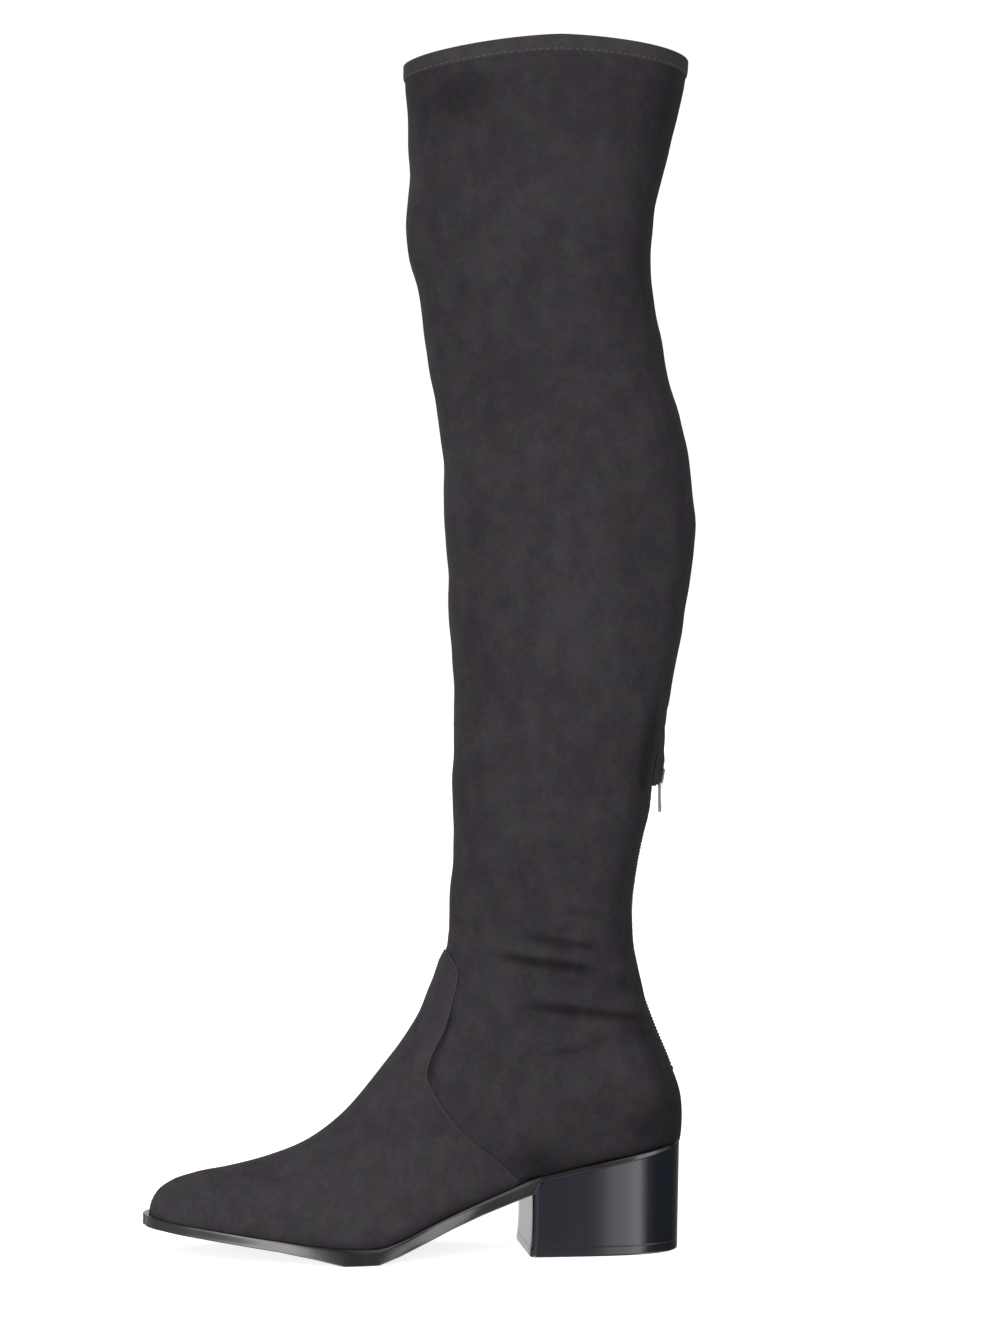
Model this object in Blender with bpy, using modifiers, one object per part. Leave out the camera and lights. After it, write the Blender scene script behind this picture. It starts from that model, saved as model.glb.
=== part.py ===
"""Over-the-knee boot for the left foot, with a low block heel and a short zip up the back.

Every piece is a solid of its own. Units are metres, +Z is up, the toe points towards -Y and the
outer side of the foot is +X. Tables are in millimetres and are read as they are listed.
"""

import math
from collections import namedtuple

import bmesh
import bpy
import numpy as np
from mathutils import Matrix, Vector

MM = 0.001

# ---------------------------------------------------------------- driving sizes, in millimetres
GAP = 0.3                 # free space between two pieces that touch
WALL = 1.7                # stretch suede with its lining
VAMP_THICKNESS = 0.9      # the vamp is laid over the upper
HEM_THICKNESS = 0.6
HEM_HEIGHT = 9.0
INSOLE_THICKNESS = 3.0
COLLAR_START = 520.0      # height where the rings start to bend towards the collar's rim
COLLAR_DIP_FRONT = 5.8    # the rim is lower in front and behind than at its sides
COLLAR_DIP_BACK = 3.4
COLLAR_DIP_POWER = 1.3
AWAY = 150.0              # beyond the boot on any side, for the cutters
PAST = 1.0                # how far a cutter runs past what it cuts
STATION_SPACING = 9.0     # longest stretch of the sole without a section
AROUND = 30               # points round one section of the upper

BREAST_Y = 48.8           # front face of the heel
TOP_PIECE_HEIGHT = 4.2    # rubber tread of the heel
TOP_PIECE_FLARE = 1.1     # how far its front edge stands forward of the heel
HEEL_INSET = 0.7          # heel side, inside the edge of the sole
HEEL_TAPER = 0.94         # width of the heel at the floor over its width at the top
HEEL_BACK_RAKE = 1.0      # how far the back of the heel comes forward at the floor
HEEL_CORNER = 3.0         # radius of the two upright edges beside the breast
HEEL_ROUND_Y = 92.0       # where the heel's sides start to turn in towards its back
HEEL_BACK_Y = 120.4       # back of the heel

ZIP_BOTTOM = 82.0
ZIP_TOP = 217.0
SLOT_HALF = 4.6
TAPE_HALF = 9.5
TAPE_THICKNESS = 0.7
TAPE_PAST = 9.0           # how far the tape runs past both ends of the zip
ZIP_ZONE_Y = 80.0         # everything of the zip is behind this
COIL_HALF = 2.8
COIL_PROUD = 0.3

SLIDER_LENGTH = 10.5
SLIDER_HALF = 4.1
SLIDER_CORNER = 1.0
SLIDER_NOSE_HALF = 3.7
SLIDER_PROUD = 2.1        # top of the slider's plate over the outer face of the upper
SLIDER_HEIGHT = 220.5     # middle of the slider above the floor
COIL_INSIDE = 2.0         # how far the teeth run into the slider
BAIL_HALF = 0.9
BAIL_REACH = 3.5          # half the bail's length along the zip
BAIL_PROUD = 5.6
BAIL_THICKNESS = 0.9
PULL_AXIS_Z = 221.0
PULL_AXIS_PROUD = 3.4     # the pull's hinge over the outer face of the upper
PULL_LENGTH = 17.5
PULL_THICKNESS = 1.1
PULL_EYE_LENGTH = 5.2
PULL_HEAD_HALF = 2.5
PULL_NECK_HALF = 1.7
PULL_HALF = 2.4
PULL_PLAY = 0.5           # free space on each side of the bail in the pull's eye

# The upper, section by section from toe to collar. Each section is flat and runs from its back or
# base point to its front point. half: half widths at the two ends before they round off. power: how
# square each end is, where 2 is an ellipse. shift: middle of the section towards the outer side.
# rings: how many rings follow up to the next section.
Section = namedtuple(
    "Section",
    "front_y front_z back_y back_z back_half front_half back_power front_power shift rings",
)
SECTIONS = [
    Section(-124.6, 17.5, -124.5, 13.0, 1.5, 1.0, 2.5, 2.0, -7.0, 1),
    Section(-123.4, 23.6, -122.4, 11.6, 9.6, 7.6, 3.0, 2.1, -7.0, 1),
    Section(-120.9, 27.8, -119.4, 11.2, 15.2, 12.6, 3.5, 2.2, -6.8, 1),
    Section(-115.4, 31.9, -114.0, 10.2, 21.0, 17.4, 4.0, 2.2, -6.4, 2),
    Section(-104.4, 35.7, -104.0, 9.0, 27.6, 22.6, 4.5, 2.2, -5.4, 2),
    Section(-88.6, 38.8, -88.0, 7.2, 33.8, 27.0, 5.0, 2.1, -3.8, 2),
    Section(-70.3, 43.6, -71.0, 4.8, 38.0, 29.6, 5.0, 2.1, -1.6, 2),
    Section(-52.1, 51.2, -54.0, 2.6, 39.6, 30.6, 5.0, 2.0, 0.4, 2),
    Section(-35.9, 63.3, -38.0, 0.9, 39.6, 30.6, 5.0, 2.0, 1.4, 2),
    Section(-20.9, 80.6, -22.0, 0.8, 38.0, 30.6, 5.0, 2.0, 1.8, 2),
    Section(-9.3, 95.6, -6.0, 6.6, 35.6, 31.2, 5.0, 2.1, 2.0, 2),
    Section(0.4, 110.0, 12.0, 14.8, 32.6, 33.0, 4.6, 2.2, 1.8, 2),
    Section(5.9, 123.3, 34.0, 22.0, 30.0, 35.6, 4.2, 2.2, 1.0, 2),
    Section(9.9, 134.2, 62.0, 29.4, 29.4, 37.6, 3.8, 2.2, 0.2, 2),
    Section(12.2, 141.0, 90.0, 35.2, 30.2, 38.6, 3.4, 2.2, 0.0, 1),
    Section(12.6, 145.5, 110.0, 39.0, 31.0, 38.8, 3.0, 2.2, 0.0, 1),
    Section(13.1, 149.0, 120.4, 45.0, 31.4, 38.6, 2.8, 2.2, 0.0, 1),
    Section(13.4, 152.6, 122.2, 58.0, 31.6, 38.2, 2.6, 2.2, 0.0, 1),
    Section(13.7, 156.8, 121.6, 71.0, 31.8, 37.8, 2.5, 2.2, 0.0, 1),
    Section(13.9, 161.6, 116.5, 86.5, 32.2, 37.4, 2.4, 2.2, 0.0, 1),
    Section(14.2, 167.4, 109.6, 103.0, 33.0, 37.2, 2.3, 2.2, 0.0, 1),
    Section(14.4, 174.4, 103.1, 121.0, 34.0, 37.2, 2.25, 2.2, 0.0, 1),
    Section(14.6, 182.4, 99.3, 140.0, 35.2, 37.4, 2.2, 2.2, 0.0, 1),
    Section(14.7, 191.0, 98.7, 160.0, 36.6, 38.0, 2.2, 2.2, 0.0, 1),
    Section(14.9, 200.5, 101.3, 180.0, 38.4, 38.8, 2.2, 2.2, 0.0, 1),
    Section(15.2, 211.0, 105.5, 200.0, 40.4, 39.6, 2.15, 2.15, 0.0, 1),
    Section(15.5, 225.0, 108.8, 221.0, 42.6, 41.0, 2.15, 2.1, 0.0, 1),
    Section(15.7, 242.0, 112.4, 242.0, 45.0, 42.2, 2.15, 2.1, 0.0, 1),
    Section(15.4, 258.0, 115.9, 258.0, 47.4, 43.2, 2.15, 2.1, 0.0, 1),
    Section(14.3, 278.0, 120.9, 278.0, 50.4, 44.8, 2.15, 2.1, 0.0, 1),
    Section(13.1, 300.0, 123.7, 300.0, 53.2, 46.6, 2.1, 2.1, 0.0, 2),
    Section(11.8, 337.0, 127.9, 337.0, 56.4, 49.6, 2.1, 2.1, 0.0, 1),
    Section(10.5, 362.0, 126.1, 362.0, 55.6, 50.4, 2.1, 2.1, 0.0, 1),
    Section(7.7, 388.0, 120.5, 388.0, 53.2, 50.4, 2.1, 2.1, 0.0, 1),
    Section(3.7, 414.0, 113.7, 414.0, 51.0, 50.2, 2.1, 2.1, 0.0, 1),
    Section(-0.5, 441.0, 108.3, 441.0, 51.0, 49.6, 2.15, 2.1, 0.0, 1),
    Section(-4.9, 460.0, 107.5, 460.0, 52.0, 50.4, 2.15, 2.05, 0.0, 1),
    Section(-6.9, 476.0, 108.5, 476.0, 53.0, 51.4, 2.15, 2.1, 0.0, 1),
    Section(-5.5, 500.0, 112.5, 500.0, 55.0, 51.6, 2.1, 2.05, 0.0, 1),
    Section(-5.7, 526.0, 119.4, 526.0, 56.8, 52.0, 2.1, 2.0, 0.0, 1),
    Section(-7.3, 546.0, 123.3, 546.0, 58.0, 52.8, 2.1, 2.0, 0.0, 1),
    Section(-7.2, 556.0, 124.0, 556.0, 58.2, 53.0, 2.1, 2.0, 0.0, 0),
]
HEEL_SEAT_Z = 42.0        # sections whose back is above this run to the back of the boot
HEEL_BACK_RADIUS = 23.0   # roundness of the back of the heel, seen from above
HEEL_BACK_FLAT = 2.0      # half width that the very back keeps
HEEL_CUP_TOP = 150.0      # the back is rounded like the heel up to this height
HEEL_CUP_DEPTH = 60.0     # and this far in from the back

# The sole from toe to heel: top and bottom heights, half width and shift of its outline.
Station = namedtuple("Station", "y top bottom half shift")
SOLE = [
    Station(-127.9, 18.9, 13.7, 3.0, -7.2),
    Station(-127.0, 18.8, 13.4, 7.2, -7.2),
    Station(-124.5, 18.5, 13.1, 12.8, -7.1),
    Station(-120.0, 18.0, 12.7, 18.6, -6.9),
    Station(-114.0, 17.2, 12.1, 24.4, -6.4),
    Station(-102.0, 15.9, 10.8, 31.0, -5.2),
    Station(-86.0, 13.9, 8.9, 36.8, -3.4),
    Station(-68.0, 11.6, 6.4, 40.0, -1.2),
    Station(-52.0, 9.4, 3.3, 41.4, 0.6),
    Station(-39.0, 8.0, 0.0, 41.2, 1.4),
    Station(-31.0, 7.6, 0.0, 40.5, 1.7),
    Station(-23.0, 7.7, 0.0, 39.6, 1.9),
    Station(-13.0, 10.6, 3.6, 38.0, 2.1),
    Station(-1.0, 16.2, 9.2, 36.6, 2.1),
    Station(11.0, 21.3, 14.6, 34.0, 1.8),
    Station(25.0, 26.8, 20.4, 31.4, 1.2),
    Station(39.0, 32.4, 25.5, 30.0, 0.6),
    Station(49.4, 36.4, 29.2, 29.4, 0.2),
    Station(52.0, 37.0, 34.6, 29.4, 0.1),
    Station(68.0, 40.5, 38.2, 29.6, 0.0),
    Station(86.0, 44.1, 41.8, 29.3, 0.0),
    Station(100.0, 46.9, 44.6, 27.0, 0.0),
    Station(110.0, 49.1, 46.8, 22.4, 0.0),
    Station(116.5, 50.7, 48.4, 16.2, 0.0),
    Station(120.0, 51.6, 49.3, 8.6, 0.0),
    Station(121.3, 51.9, 49.6, 3.0, 0.0),
]
SOLE_EDGE = 0.9           # chamfer along the upper edge of the sole, and height of the one below
SOLE_TREAD_INSET = 2.2    # width of the chamfer along the lower edge

# Back edge of the vamp in side view, from the front of the ankle down to the sole.
EdgePoint = namedtuple("EdgePoint", "y z")
VAMP_EDGE = [
    EdgePoint(7.0, 147.0),
    EdgePoint(10.2, 140.5),
    EdgePoint(14.4, 130.5),
    EdgePoint(12.6, 121.0),
    EdgePoint(8.0, 105.5),
    EdgePoint(0.7, 90.3),
    EdgePoint(3.2, 75.5),
    EdgePoint(14.0, 60.5),
    EdgePoint(36.5, 41.0),
    EdgePoint(46.0, 31.0),
    EdgePoint(52.0, 24.0),
]

FLAP_CURVE = 60.0         # radius of the flap's outer face, seen from above
FLAP_ROOT = 6.0           # how far the flap's form reaches inwards before it is hollowed

# The padded flap over the top end of the zip, from its top down to its two cheeks beside the slider.
Flap = namedtuple("Flap", "z half proud")
GARAGE = [
    Flap(262.0, 2.0, 0.3),
    Flap(258.0, 7.0, 0.5),
    Flap(252.0, 10.4, 0.9),
    Flap(243.0, 12.6, 1.9),
    Flap(234.0, 13.4, 3.3),
    Flap(226.0, 13.3, 4.6),
    Flap(219.4, 12.4, 5.1),
    Flap(217.2, 11.8, 4.5),
    Flap(215.4, 11.0, 1.0),
]

SUEDE = ((0.040, 0.036, 0.039), 0.95, 0.0)
SOLE_FINISH = ((0.012, 0.012, 0.014), 0.30, 0.0)
HEEL_FINISH = ((0.011, 0.011, 0.013), 0.12, 0.0)
RUBBER = ((0.015, 0.015, 0.016), 0.55, 0.0)
LINING = ((0.055, 0.050, 0.048), 0.85, 0.0)
TAPE = ((0.018, 0.017, 0.018), 0.80, 0.0)
METAL = ((0.62, 0.62, 0.60), 0.25, 1.0)


# ---------------------------------------------------------------- curves and tables


def smooth(knots, values, at):
    """A cubic through the values at the knots. Each slope leans to the nearer neighbour."""
    knots = np.asarray(knots, float)
    values = np.asarray(values, float)
    at = np.clip(np.asarray(at, float), knots[0], knots[-1])
    steps = np.diff(knots)
    secants = (np.diff(values, axis=0).T / steps).T
    slopes = np.empty_like(values)
    slopes[0] = secants[0]
    slopes[-1] = secants[-1]
    before = steps[:-1]
    after = steps[1:]
    slopes[1:-1] = ((secants[:-1].T * after + secants[1:].T * before) / (before + after)).T
    i = np.clip(np.searchsorted(knots, at, side="right") - 1, 0, len(steps) - 1)
    h = steps[i]
    t = (at - knots[i]) / h
    weights = np.array(
        [
            2 * t**3 - 3 * t**2 + 1,
            (t**3 - 2 * t**2 + t) * h,
            3 * t**2 - 2 * t**3,
            (t**3 - t**2) * h,
        ]
    )
    parts = np.array([values[i], slopes[i], values[i + 1], slopes[i + 1]])
    return np.einsum("k...,k...j->...j", weights, parts.reshape(parts.shape[:1] + at.shape + (-1,)))


def column(rows, key, value, at):
    """One column of a table as a smooth function of another."""
    return smooth([getattr(r, key) for r in rows], [getattr(r, value) for r in rows], at)[..., 0]


def sole_top(y):
    return column(SOLE, "y", "top", y)


def sole_bottom(y):
    """The underside is straight from station to station, which keeps the tread flat."""
    return np.interp(y, [s.y for s in SOLE], [s.bottom for s in SOLE])


def back_of_upper(z):
    """How far back the upper reaches at each height, from the heel to the collar."""
    rows = [s for s in SECTIONS if s.back_z > HEEL_SEAT_Z]
    heights = [s.back_z for s in rows]
    return smooth(heights, [s.back_y for s in rows], z)[..., 0]


# ---------------------------------------------------------------- the form of the upper


def rings_of_sections():
    """The table's rows with the rings between them, as an array with the table's columns."""
    rows = np.array(SECTIONS, float)
    reach = np.hypot(np.diff(rows[:, 0]), np.diff(rows[:, 1]))
    reach += np.hypot(np.diff(rows[:, 2]), np.diff(rows[:, 3]))
    knots = np.concatenate([[0.0], np.cumsum(reach)])
    stops = []
    for i, section in enumerate(SECTIONS[:-1]):
        stops.extend(np.linspace(knots[i], knots[i + 1], section.rings + 1)[:-1])
    stops.append(knots[-1])
    return smooth(knots, rows, np.array(stops))


def soft_least(a, b, softness=3.0):
    """The smaller of two widths, rounded where they cross."""
    return 0.5 * (a + b - np.sqrt((a - b) ** 2 + softness**2))


def half_width(ring, v):
    """Half width of a section at v, from 0 at its back or base to 1 at its front, in millimetres."""
    power = np.where(v < 0.5, ring[6], ring[7])
    envelope = (1 - np.abs(2 * v - 1) ** power) ** (1 / power)
    width = envelope * (ring[4] + (ring[5] - ring[4]) * v)
    y = ring[2] + (ring[0] - ring[2]) * v
    z = ring[3] + (ring[1] - ring[3]) * v
    behind = np.maximum(back_of_upper(z) - y, 0.0)
    limit = np.sqrt(2 * HEEL_BACK_RADIUS * behind) + HEEL_BACK_FLAT
    rounded = soft_least(width, limit)
    near_heel = (z < HEEL_CUP_TOP) & (behind < HEEL_CUP_DEPTH)
    return np.where(near_heel & (envelope > 0), np.clip(rounded, 0, width), width)


def section_points(ring):
    """Points round one section, from its back or base over the outer side to its front and round."""
    turn = 2 * math.pi * np.arange(AROUND) / AROUND
    v = (1 - np.cos(turn)) / 2
    side = np.where(turn <= math.pi, 1.0, -1.0)
    x = ring[8] + side * half_width(ring, v)
    y = ring[2] + (ring[0] - ring[2]) * v
    z = ring[3] + (ring[1] - ring[3]) * v
    near_collar = np.clip((z - COLLAR_START) / (SECTIONS[-1].back_z - COLLAR_START), 0, 1)
    dip = np.where(v > 0.5, COLLAR_DIP_FRONT, COLLAR_DIP_BACK)
    z = z - dip * near_collar * np.abs(2 * v - 1) ** COLLAR_DIP_POWER
    return np.column_stack([x, y, z]) * MM


def skin(rings, cap_first=True, cap_last=True):
    """A mesh through rings with the same number of points, as a loft."""
    mesh = bmesh.new()
    loops = [[mesh.verts.new(p) for p in ring] for ring in rings]
    count = len(loops[0])
    for low, high in zip(loops, loops[1:]):
        for i in range(count):
            j = (i + 1) % count
            mesh.faces.new((low[i], low[j], high[j], high[i]))
    if cap_first:
        mesh.faces.new(list(reversed(loops[0])))
    if cap_last:
        mesh.faces.new(loops[-1])
    bmesh.ops.recalc_face_normals(mesh, faces=mesh.faces)
    return mesh


def boot_form(outward, closed=False):
    """The outer face of the upper moved outward by that many millimetres, with or without a lid."""
    mesh = skin([section_points(r) for r in rings_of_sections()])
    mesh.normal_update()
    lid = max(mesh.faces, key=lambda f: f.calc_center_median().z)
    rim = set(lid.verts)
    moves = {}
    for v in mesh.verts:
        normal = sum((f.normal for f in v.link_faces if f is not lid), Vector())
        if v in rim:
            normal.z = 0.0
        moves[v] = normal.normalized() * outward * MM
    for v, move in moves.items():
        v.co += move
    if not closed:
        bmesh.ops.delete(mesh, geom=[lid], context="FACES_ONLY")
    return mesh


# ---------------------------------------------------------------- objects, cuts and finishes


def clear_scene():
    for obj in list(bpy.data.objects):
        bpy.data.objects.remove(obj)


def new_collection(name):
    made = bpy.data.collections.new(name)
    bpy.context.scene.collection.children.link(made)
    return made


def material(name, finish):
    colour, roughness, metallic = finish
    made = bpy.data.materials.new(name)
    made.use_nodes = True
    shader = made.node_tree.nodes["Principled BSDF"]
    shader.inputs["Base Color"].default_value = (*colour, 1.0)
    shader.inputs["Roughness"].default_value = roughness
    shader.inputs["Metallic"].default_value = metallic
    return made


def add_object(name, mesh, collection, finish=None, smooth_angle=40):
    """Turns a bmesh into a named object. Pieces have a finish; cutters have none."""
    data = bpy.data.meshes.new(name)
    mesh.to_mesh(data)
    mesh.free()
    obj = bpy.data.objects.new(name, data)
    collection.objects.link(obj)
    if finish is None:
        obj.hide_render = True
        obj.display_type = "WIRE"
    else:
        data.materials.append(material(name, finish))
        data.shade_smooth()
        data.set_sharp_from_angle(angle=math.radians(smooth_angle))
    return obj


def boolean(obj, operation, other):
    cut = obj.modifiers.new(f"{operation.lower()} {other.name}", "BOOLEAN")
    cut.operation = operation
    cut.object = other
    cut.solver = "EXACT"


def solidify(obj, thickness):
    """Gives an open surface a wall on its inner side."""
    wall = obj.modifiers.new("wall", "SOLIDIFY")
    wall.thickness = thickness * MM
    wall.offset = -1.0
    wall.use_even_offset = True
    wall.use_rim = True


def prism(outline, half_depth=90.0):
    """A side view outline in millimetres, extruded to both sides of the middle plane."""
    rings = [[(x * MM, y * MM, z * MM) for y, z in outline] for x in (-half_depth, half_depth)]
    return skin(rings)


def box(low, high):
    """A box between two corners in millimetres."""
    mesh = bmesh.new()
    bmesh.ops.create_cube(mesh, size=1.0)
    low = Vector(low) * MM
    high = Vector(high) * MM
    bmesh.ops.scale(mesh, vec=high - low, verts=mesh.verts)
    bmesh.ops.translate(mesh, vec=(low + high) / 2, verts=mesh.verts)
    return mesh


def along_foot():
    """Stations close enough together for a smooth line along the sole."""
    return np.linspace(SOLE[0].y - 20, SOLE[-1].y + 20, 45)


# ---------------------------------------------------------------- cutters


def cutter_below_upper(cutters, lift):
    """Everything under the top of the sole, raised by lift."""
    stations = along_foot()
    outline = [(y, z + lift) for y, z in zip(stations, sole_top(stations))]
    outline += [(stations[-1], -30.0), (stations[0], -30.0)]
    return add_object(f"below_upper_{lift:.1f}", prism(outline), cutters)


def cutter_vamp(cutters):
    """Everything in front of the vamp's back edge."""
    turns = np.arange(len(VAMP_EDGE), dtype=float)
    fine = np.linspace(0, turns[-1], 3 * len(VAMP_EDGE))
    edge = smooth(turns, np.array(VAMP_EDGE, float), fine)
    front, top, floor = -AWAY, 160.0, -20.0
    outline = [(front, top), (-20.0, top), *map(tuple, edge), (edge[-1][0], floor), (front, floor)]
    return add_object("vamp_zone", prism(outline), cutters)


# ---------------------------------------------------------------- the upper and what is laid on it


def build_upper(pieces, cutters, below):
    """One sleeve with a real wall, cut off along the sole and slit for the zip."""
    upper = add_object("upper", boot_form(0.0), pieces, SUEDE)
    solidify(upper, WALL)
    boolean(upper, "DIFFERENCE", below)
    slot_top = SLIDER_HEIGHT + SLIDER_LENGTH / 2 + 2 * GAP
    slot = box((-SLOT_HALF, ZIP_ZONE_Y, ZIP_BOTTOM), (SLOT_HALF, AWAY, slot_top))
    boolean(upper, "DIFFERENCE", add_object("zip_slot", slot, cutters))


def build_vamp(pieces, cutters, below):
    """The overlay between two larger forms of the upper, cut along its back edge and the sole."""
    vamp = add_object("vamp", boot_form(GAP + VAMP_THICKNESS), pieces, SUEDE)
    solidify(vamp, VAMP_THICKNESS)
    boolean(vamp, "INTERSECT", cutter_vamp(cutters))
    boolean(vamp, "DIFFERENCE", below)


def build_collar_hem(pieces, cutters):
    """The band above a level seam. It is lowest in front, where the rim dips most."""
    hem = add_object("collar_hem", boot_form(GAP + HEM_THICKNESS), pieces, SUEDE)
    solidify(hem, HEM_THICKNESS)
    top = SECTIONS[-1].back_z
    zone = box((-AWAY, -AWAY, top - HEM_HEIGHT), (AWAY, AWAY, top + HEM_HEIGHT))
    boolean(hem, "INTERSECT", add_object("hem_zone", zone, cutters))


def build_insole(pieces, cutters):
    """A layer over the sole's top that fills the foot's inside from wall to wall."""
    stations = along_foot()
    low = [(y, z + GAP) for y, z in zip(stations, sole_top(stations))]
    high = [(y, z + INSOLE_THICKNESS) for y, z in low]
    insole = add_object("insole", prism(low + high[::-1]), pieces, LINING)
    inside = add_object("inside_of_upper", boot_form(-WALL - 2 * GAP, closed=True), cutters)
    boolean(insole, "INTERSECT", inside)


# ---------------------------------------------------------------- sole and heel


def sole_section(y, half, shift, top, bottom):
    """Eight corners round one section of the sole, with both edges chamfered."""
    edge = min(SOLE_EDGE, 0.3 * (top - bottom), 0.3 * half)
    half_section = [
        (half - min(SOLE_TREAD_INSET, 0.5 * half), bottom),
        (half, bottom + edge),
        (half, top - edge),
        (half - edge, top),
    ]
    points = half_section + [(-x, z) for x, z in reversed(half_section)]
    return [((shift + x) * MM, y * MM, z * MM) for x, z in points]


def build_outsole(pieces):
    """A loft through the stations of the table, with one more between those far apart."""
    between = [(a.y + b.y) / 2 for a, b in zip(SOLE, SOLE[1:]) if b.y - a.y > STATION_SPACING]
    stations = np.array(sorted([s.y for s in SOLE] + between))
    half = column(SOLE, "y", "half", stations)
    shift = column(SOLE, "y", "shift", stations)
    rows = zip(stations, half, shift, sole_top(stations), sole_bottom(stations))
    add_object("outsole", skin([sole_section(*row) for row in rows]), pieces, SOLE_FINISH, 30)


def heel_outline(inset):
    """The heel seen from above: flat breast, straight sides, round back, as (x, y) points."""
    sides = np.linspace(BREAST_Y + HEEL_CORNER, HEEL_ROUND_Y, 5)
    back = HEEL_ROUND_Y + (HEEL_BACK_Y - HEEL_ROUND_Y) * np.sin(np.linspace(0, math.pi / 2, 10)[1:])
    ys = np.concatenate([sides, back])
    half = column(SOLE, "y", "half", ys) - inset
    corner = []
    for turn in np.radians([0, 30, 60]):
        across = half[0] - HEEL_CORNER * (1 - math.sin(turn))
        corner.append((across, BREAST_Y + HEEL_CORNER * (1 - math.cos(turn))))
    outer = corner + list(zip(half, ys))
    return outer + [(-x, y) for x, y in reversed(outer)]


def heel_ring(z, top_z, flare=0.0):
    """The heel's outline at height z, which narrows towards the floor. flare moves its breast."""
    down = 1 - z / top_z
    width = 1 - (1 - HEEL_TAPER) * down
    length = SOLE[-1].y - BREAST_Y
    points = []
    for x, y in heel_outline(HEEL_INSET):
        back = (y - BREAST_Y) / length
        moved = y - HEEL_BACK_RAKE * down * back - flare * max(0.0, 1 - 4 * back)
        points.append((x * width * MM, moved * MM, z * MM))
    return points


def build_heel(pieces, cutters):
    """The block, cut to the underside of the sole, and its tread on the floor."""
    top = SOLE[-1].top
    block = skin([heel_ring(z, top) for z in (TOP_PIECE_HEIGHT + GAP, 0.5 * top, 1.2 * top)])
    heel = add_object("heel_block", block, pieces, HEEL_FINISH, 30)
    stations = [s.y for s in SOLE if s.y > BREAST_Y - 15]
    under = [(y, float(sole_bottom(y)) - GAP) for y in stations]
    front = BREAST_Y - 30
    outline = [(front, under[0][1]), *under, (AWAY, under[-1][1]), (AWAY, AWAY), (front, AWAY)]
    boolean(heel, "DIFFERENCE", add_object("above_heel", prism(outline), cutters))
    tread = skin([heel_ring(z, top, TOP_PIECE_FLARE) for z in (0.0, TOP_PIECE_HEIGHT)])
    add_object("heel_top_piece", tread, pieces, RUBBER, 30)


# ---------------------------------------------------------------- the zip


def zip_line(z):
    """Point on the zip's line and its outward normal, both in the middle plane, at height z."""
    step = 0.5
    lean = float(back_of_upper(z + step) - back_of_upper(z - step)) / (2 * step)
    along = Vector((0.0, lean, 1.0)).normalized()
    outward = Vector((0.0, along.z, -along.y))
    return Vector((0.0, float(back_of_upper(z)), z)), along, outward


def build_zip_tape(pieces, cutters):
    tape = add_object("zip_tape", boot_form(-WALL - GAP), pieces, TAPE)
    solidify(tape, TAPE_THICKNESS)
    low = (-TAPE_HALF, ZIP_ZONE_Y, ZIP_BOTTOM - TAPE_PAST)
    zone = box(low, (TAPE_HALF, AWAY, SLIDER_HEIGHT + TAPE_PAST))
    boolean(tape, "INTERSECT", add_object("tape_zone", zone, cutters))


def build_zip_coil(pieces):
    """The closed teeth: a strip with a rounded top that lies in the slot, over the tape."""
    rings = []
    floor = GAP - WALL
    crown = 0.6 * COIL_HALF
    section = [(-COIL_HALF, floor), (-COIL_HALF, floor / 2), (-crown, COIL_PROUD)]
    section += [(-x, rise) for x, rise in reversed(section)]
    for z in np.linspace(ZIP_BOTTOM + COIL_INSIDE, ZIP_TOP, 11):
        point, _, outward = zip_line(z)
        rings.append([(Vector((x, 0, 0)) + point + outward * rise) * MM for x, rise in section])
    add_object("zip_coil", skin(rings), pieces, TAPE)


def build_zip_garage(pieces, cutters):
    """A tongue of padded suede hollowed to the upper, with a free space between its two cheeks."""
    rings = []
    for flap in GARAGE:
        point, _, outward = zip_line(flap.z)
        ring = []
        for turn in np.linspace(0, 2 * math.pi, 16, endpoint=False):
            x = flap.half * math.cos(turn)
            rise = flap.proud if math.sin(turn) > 0 else FLAP_ROOT
            drop = x * x / (2 * FLAP_CURVE)
            ring.append((Vector((x, 0, 0)) + point + outward * (rise * math.sin(turn) - drop)) * MM)
        rings.append(ring)
    garage = add_object("zip_garage", skin(rings), pieces, SUEDE)
    outside = add_object("outside_of_upper", boot_form(GAP, closed=True), cutters)
    boolean(garage, "DIFFERENCE", outside)
    wide = SLIDER_HALF + 2 * GAP
    top = SLIDER_HEIGHT + SLIDER_LENGTH / 2 + 2 * GAP
    room = box((-wide, ZIP_ZONE_Y, ZIP_BOTTOM), (wide, AWAY, top))
    boolean(garage, "DIFFERENCE", add_object("slider_room", room, cutters))


def slider_frame():
    """Carries the slider from its own axes, X across, Y up the zip and Z outwards, to its place."""
    point, along, outward = zip_line(SLIDER_HEIGHT)
    side = Vector((1.0, 0.0, 0.0))
    turn = Matrix((side, along, outward)).transposed().to_4x4()
    return Matrix.Translation(point * MM) @ turn


def plate(outline, low, high):
    """A flat outline in the slider's own axes, made as thick as low to high."""
    return skin([[(x * MM, y * MM, z * MM) for x, y in outline] for z in (low, high)])


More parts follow.
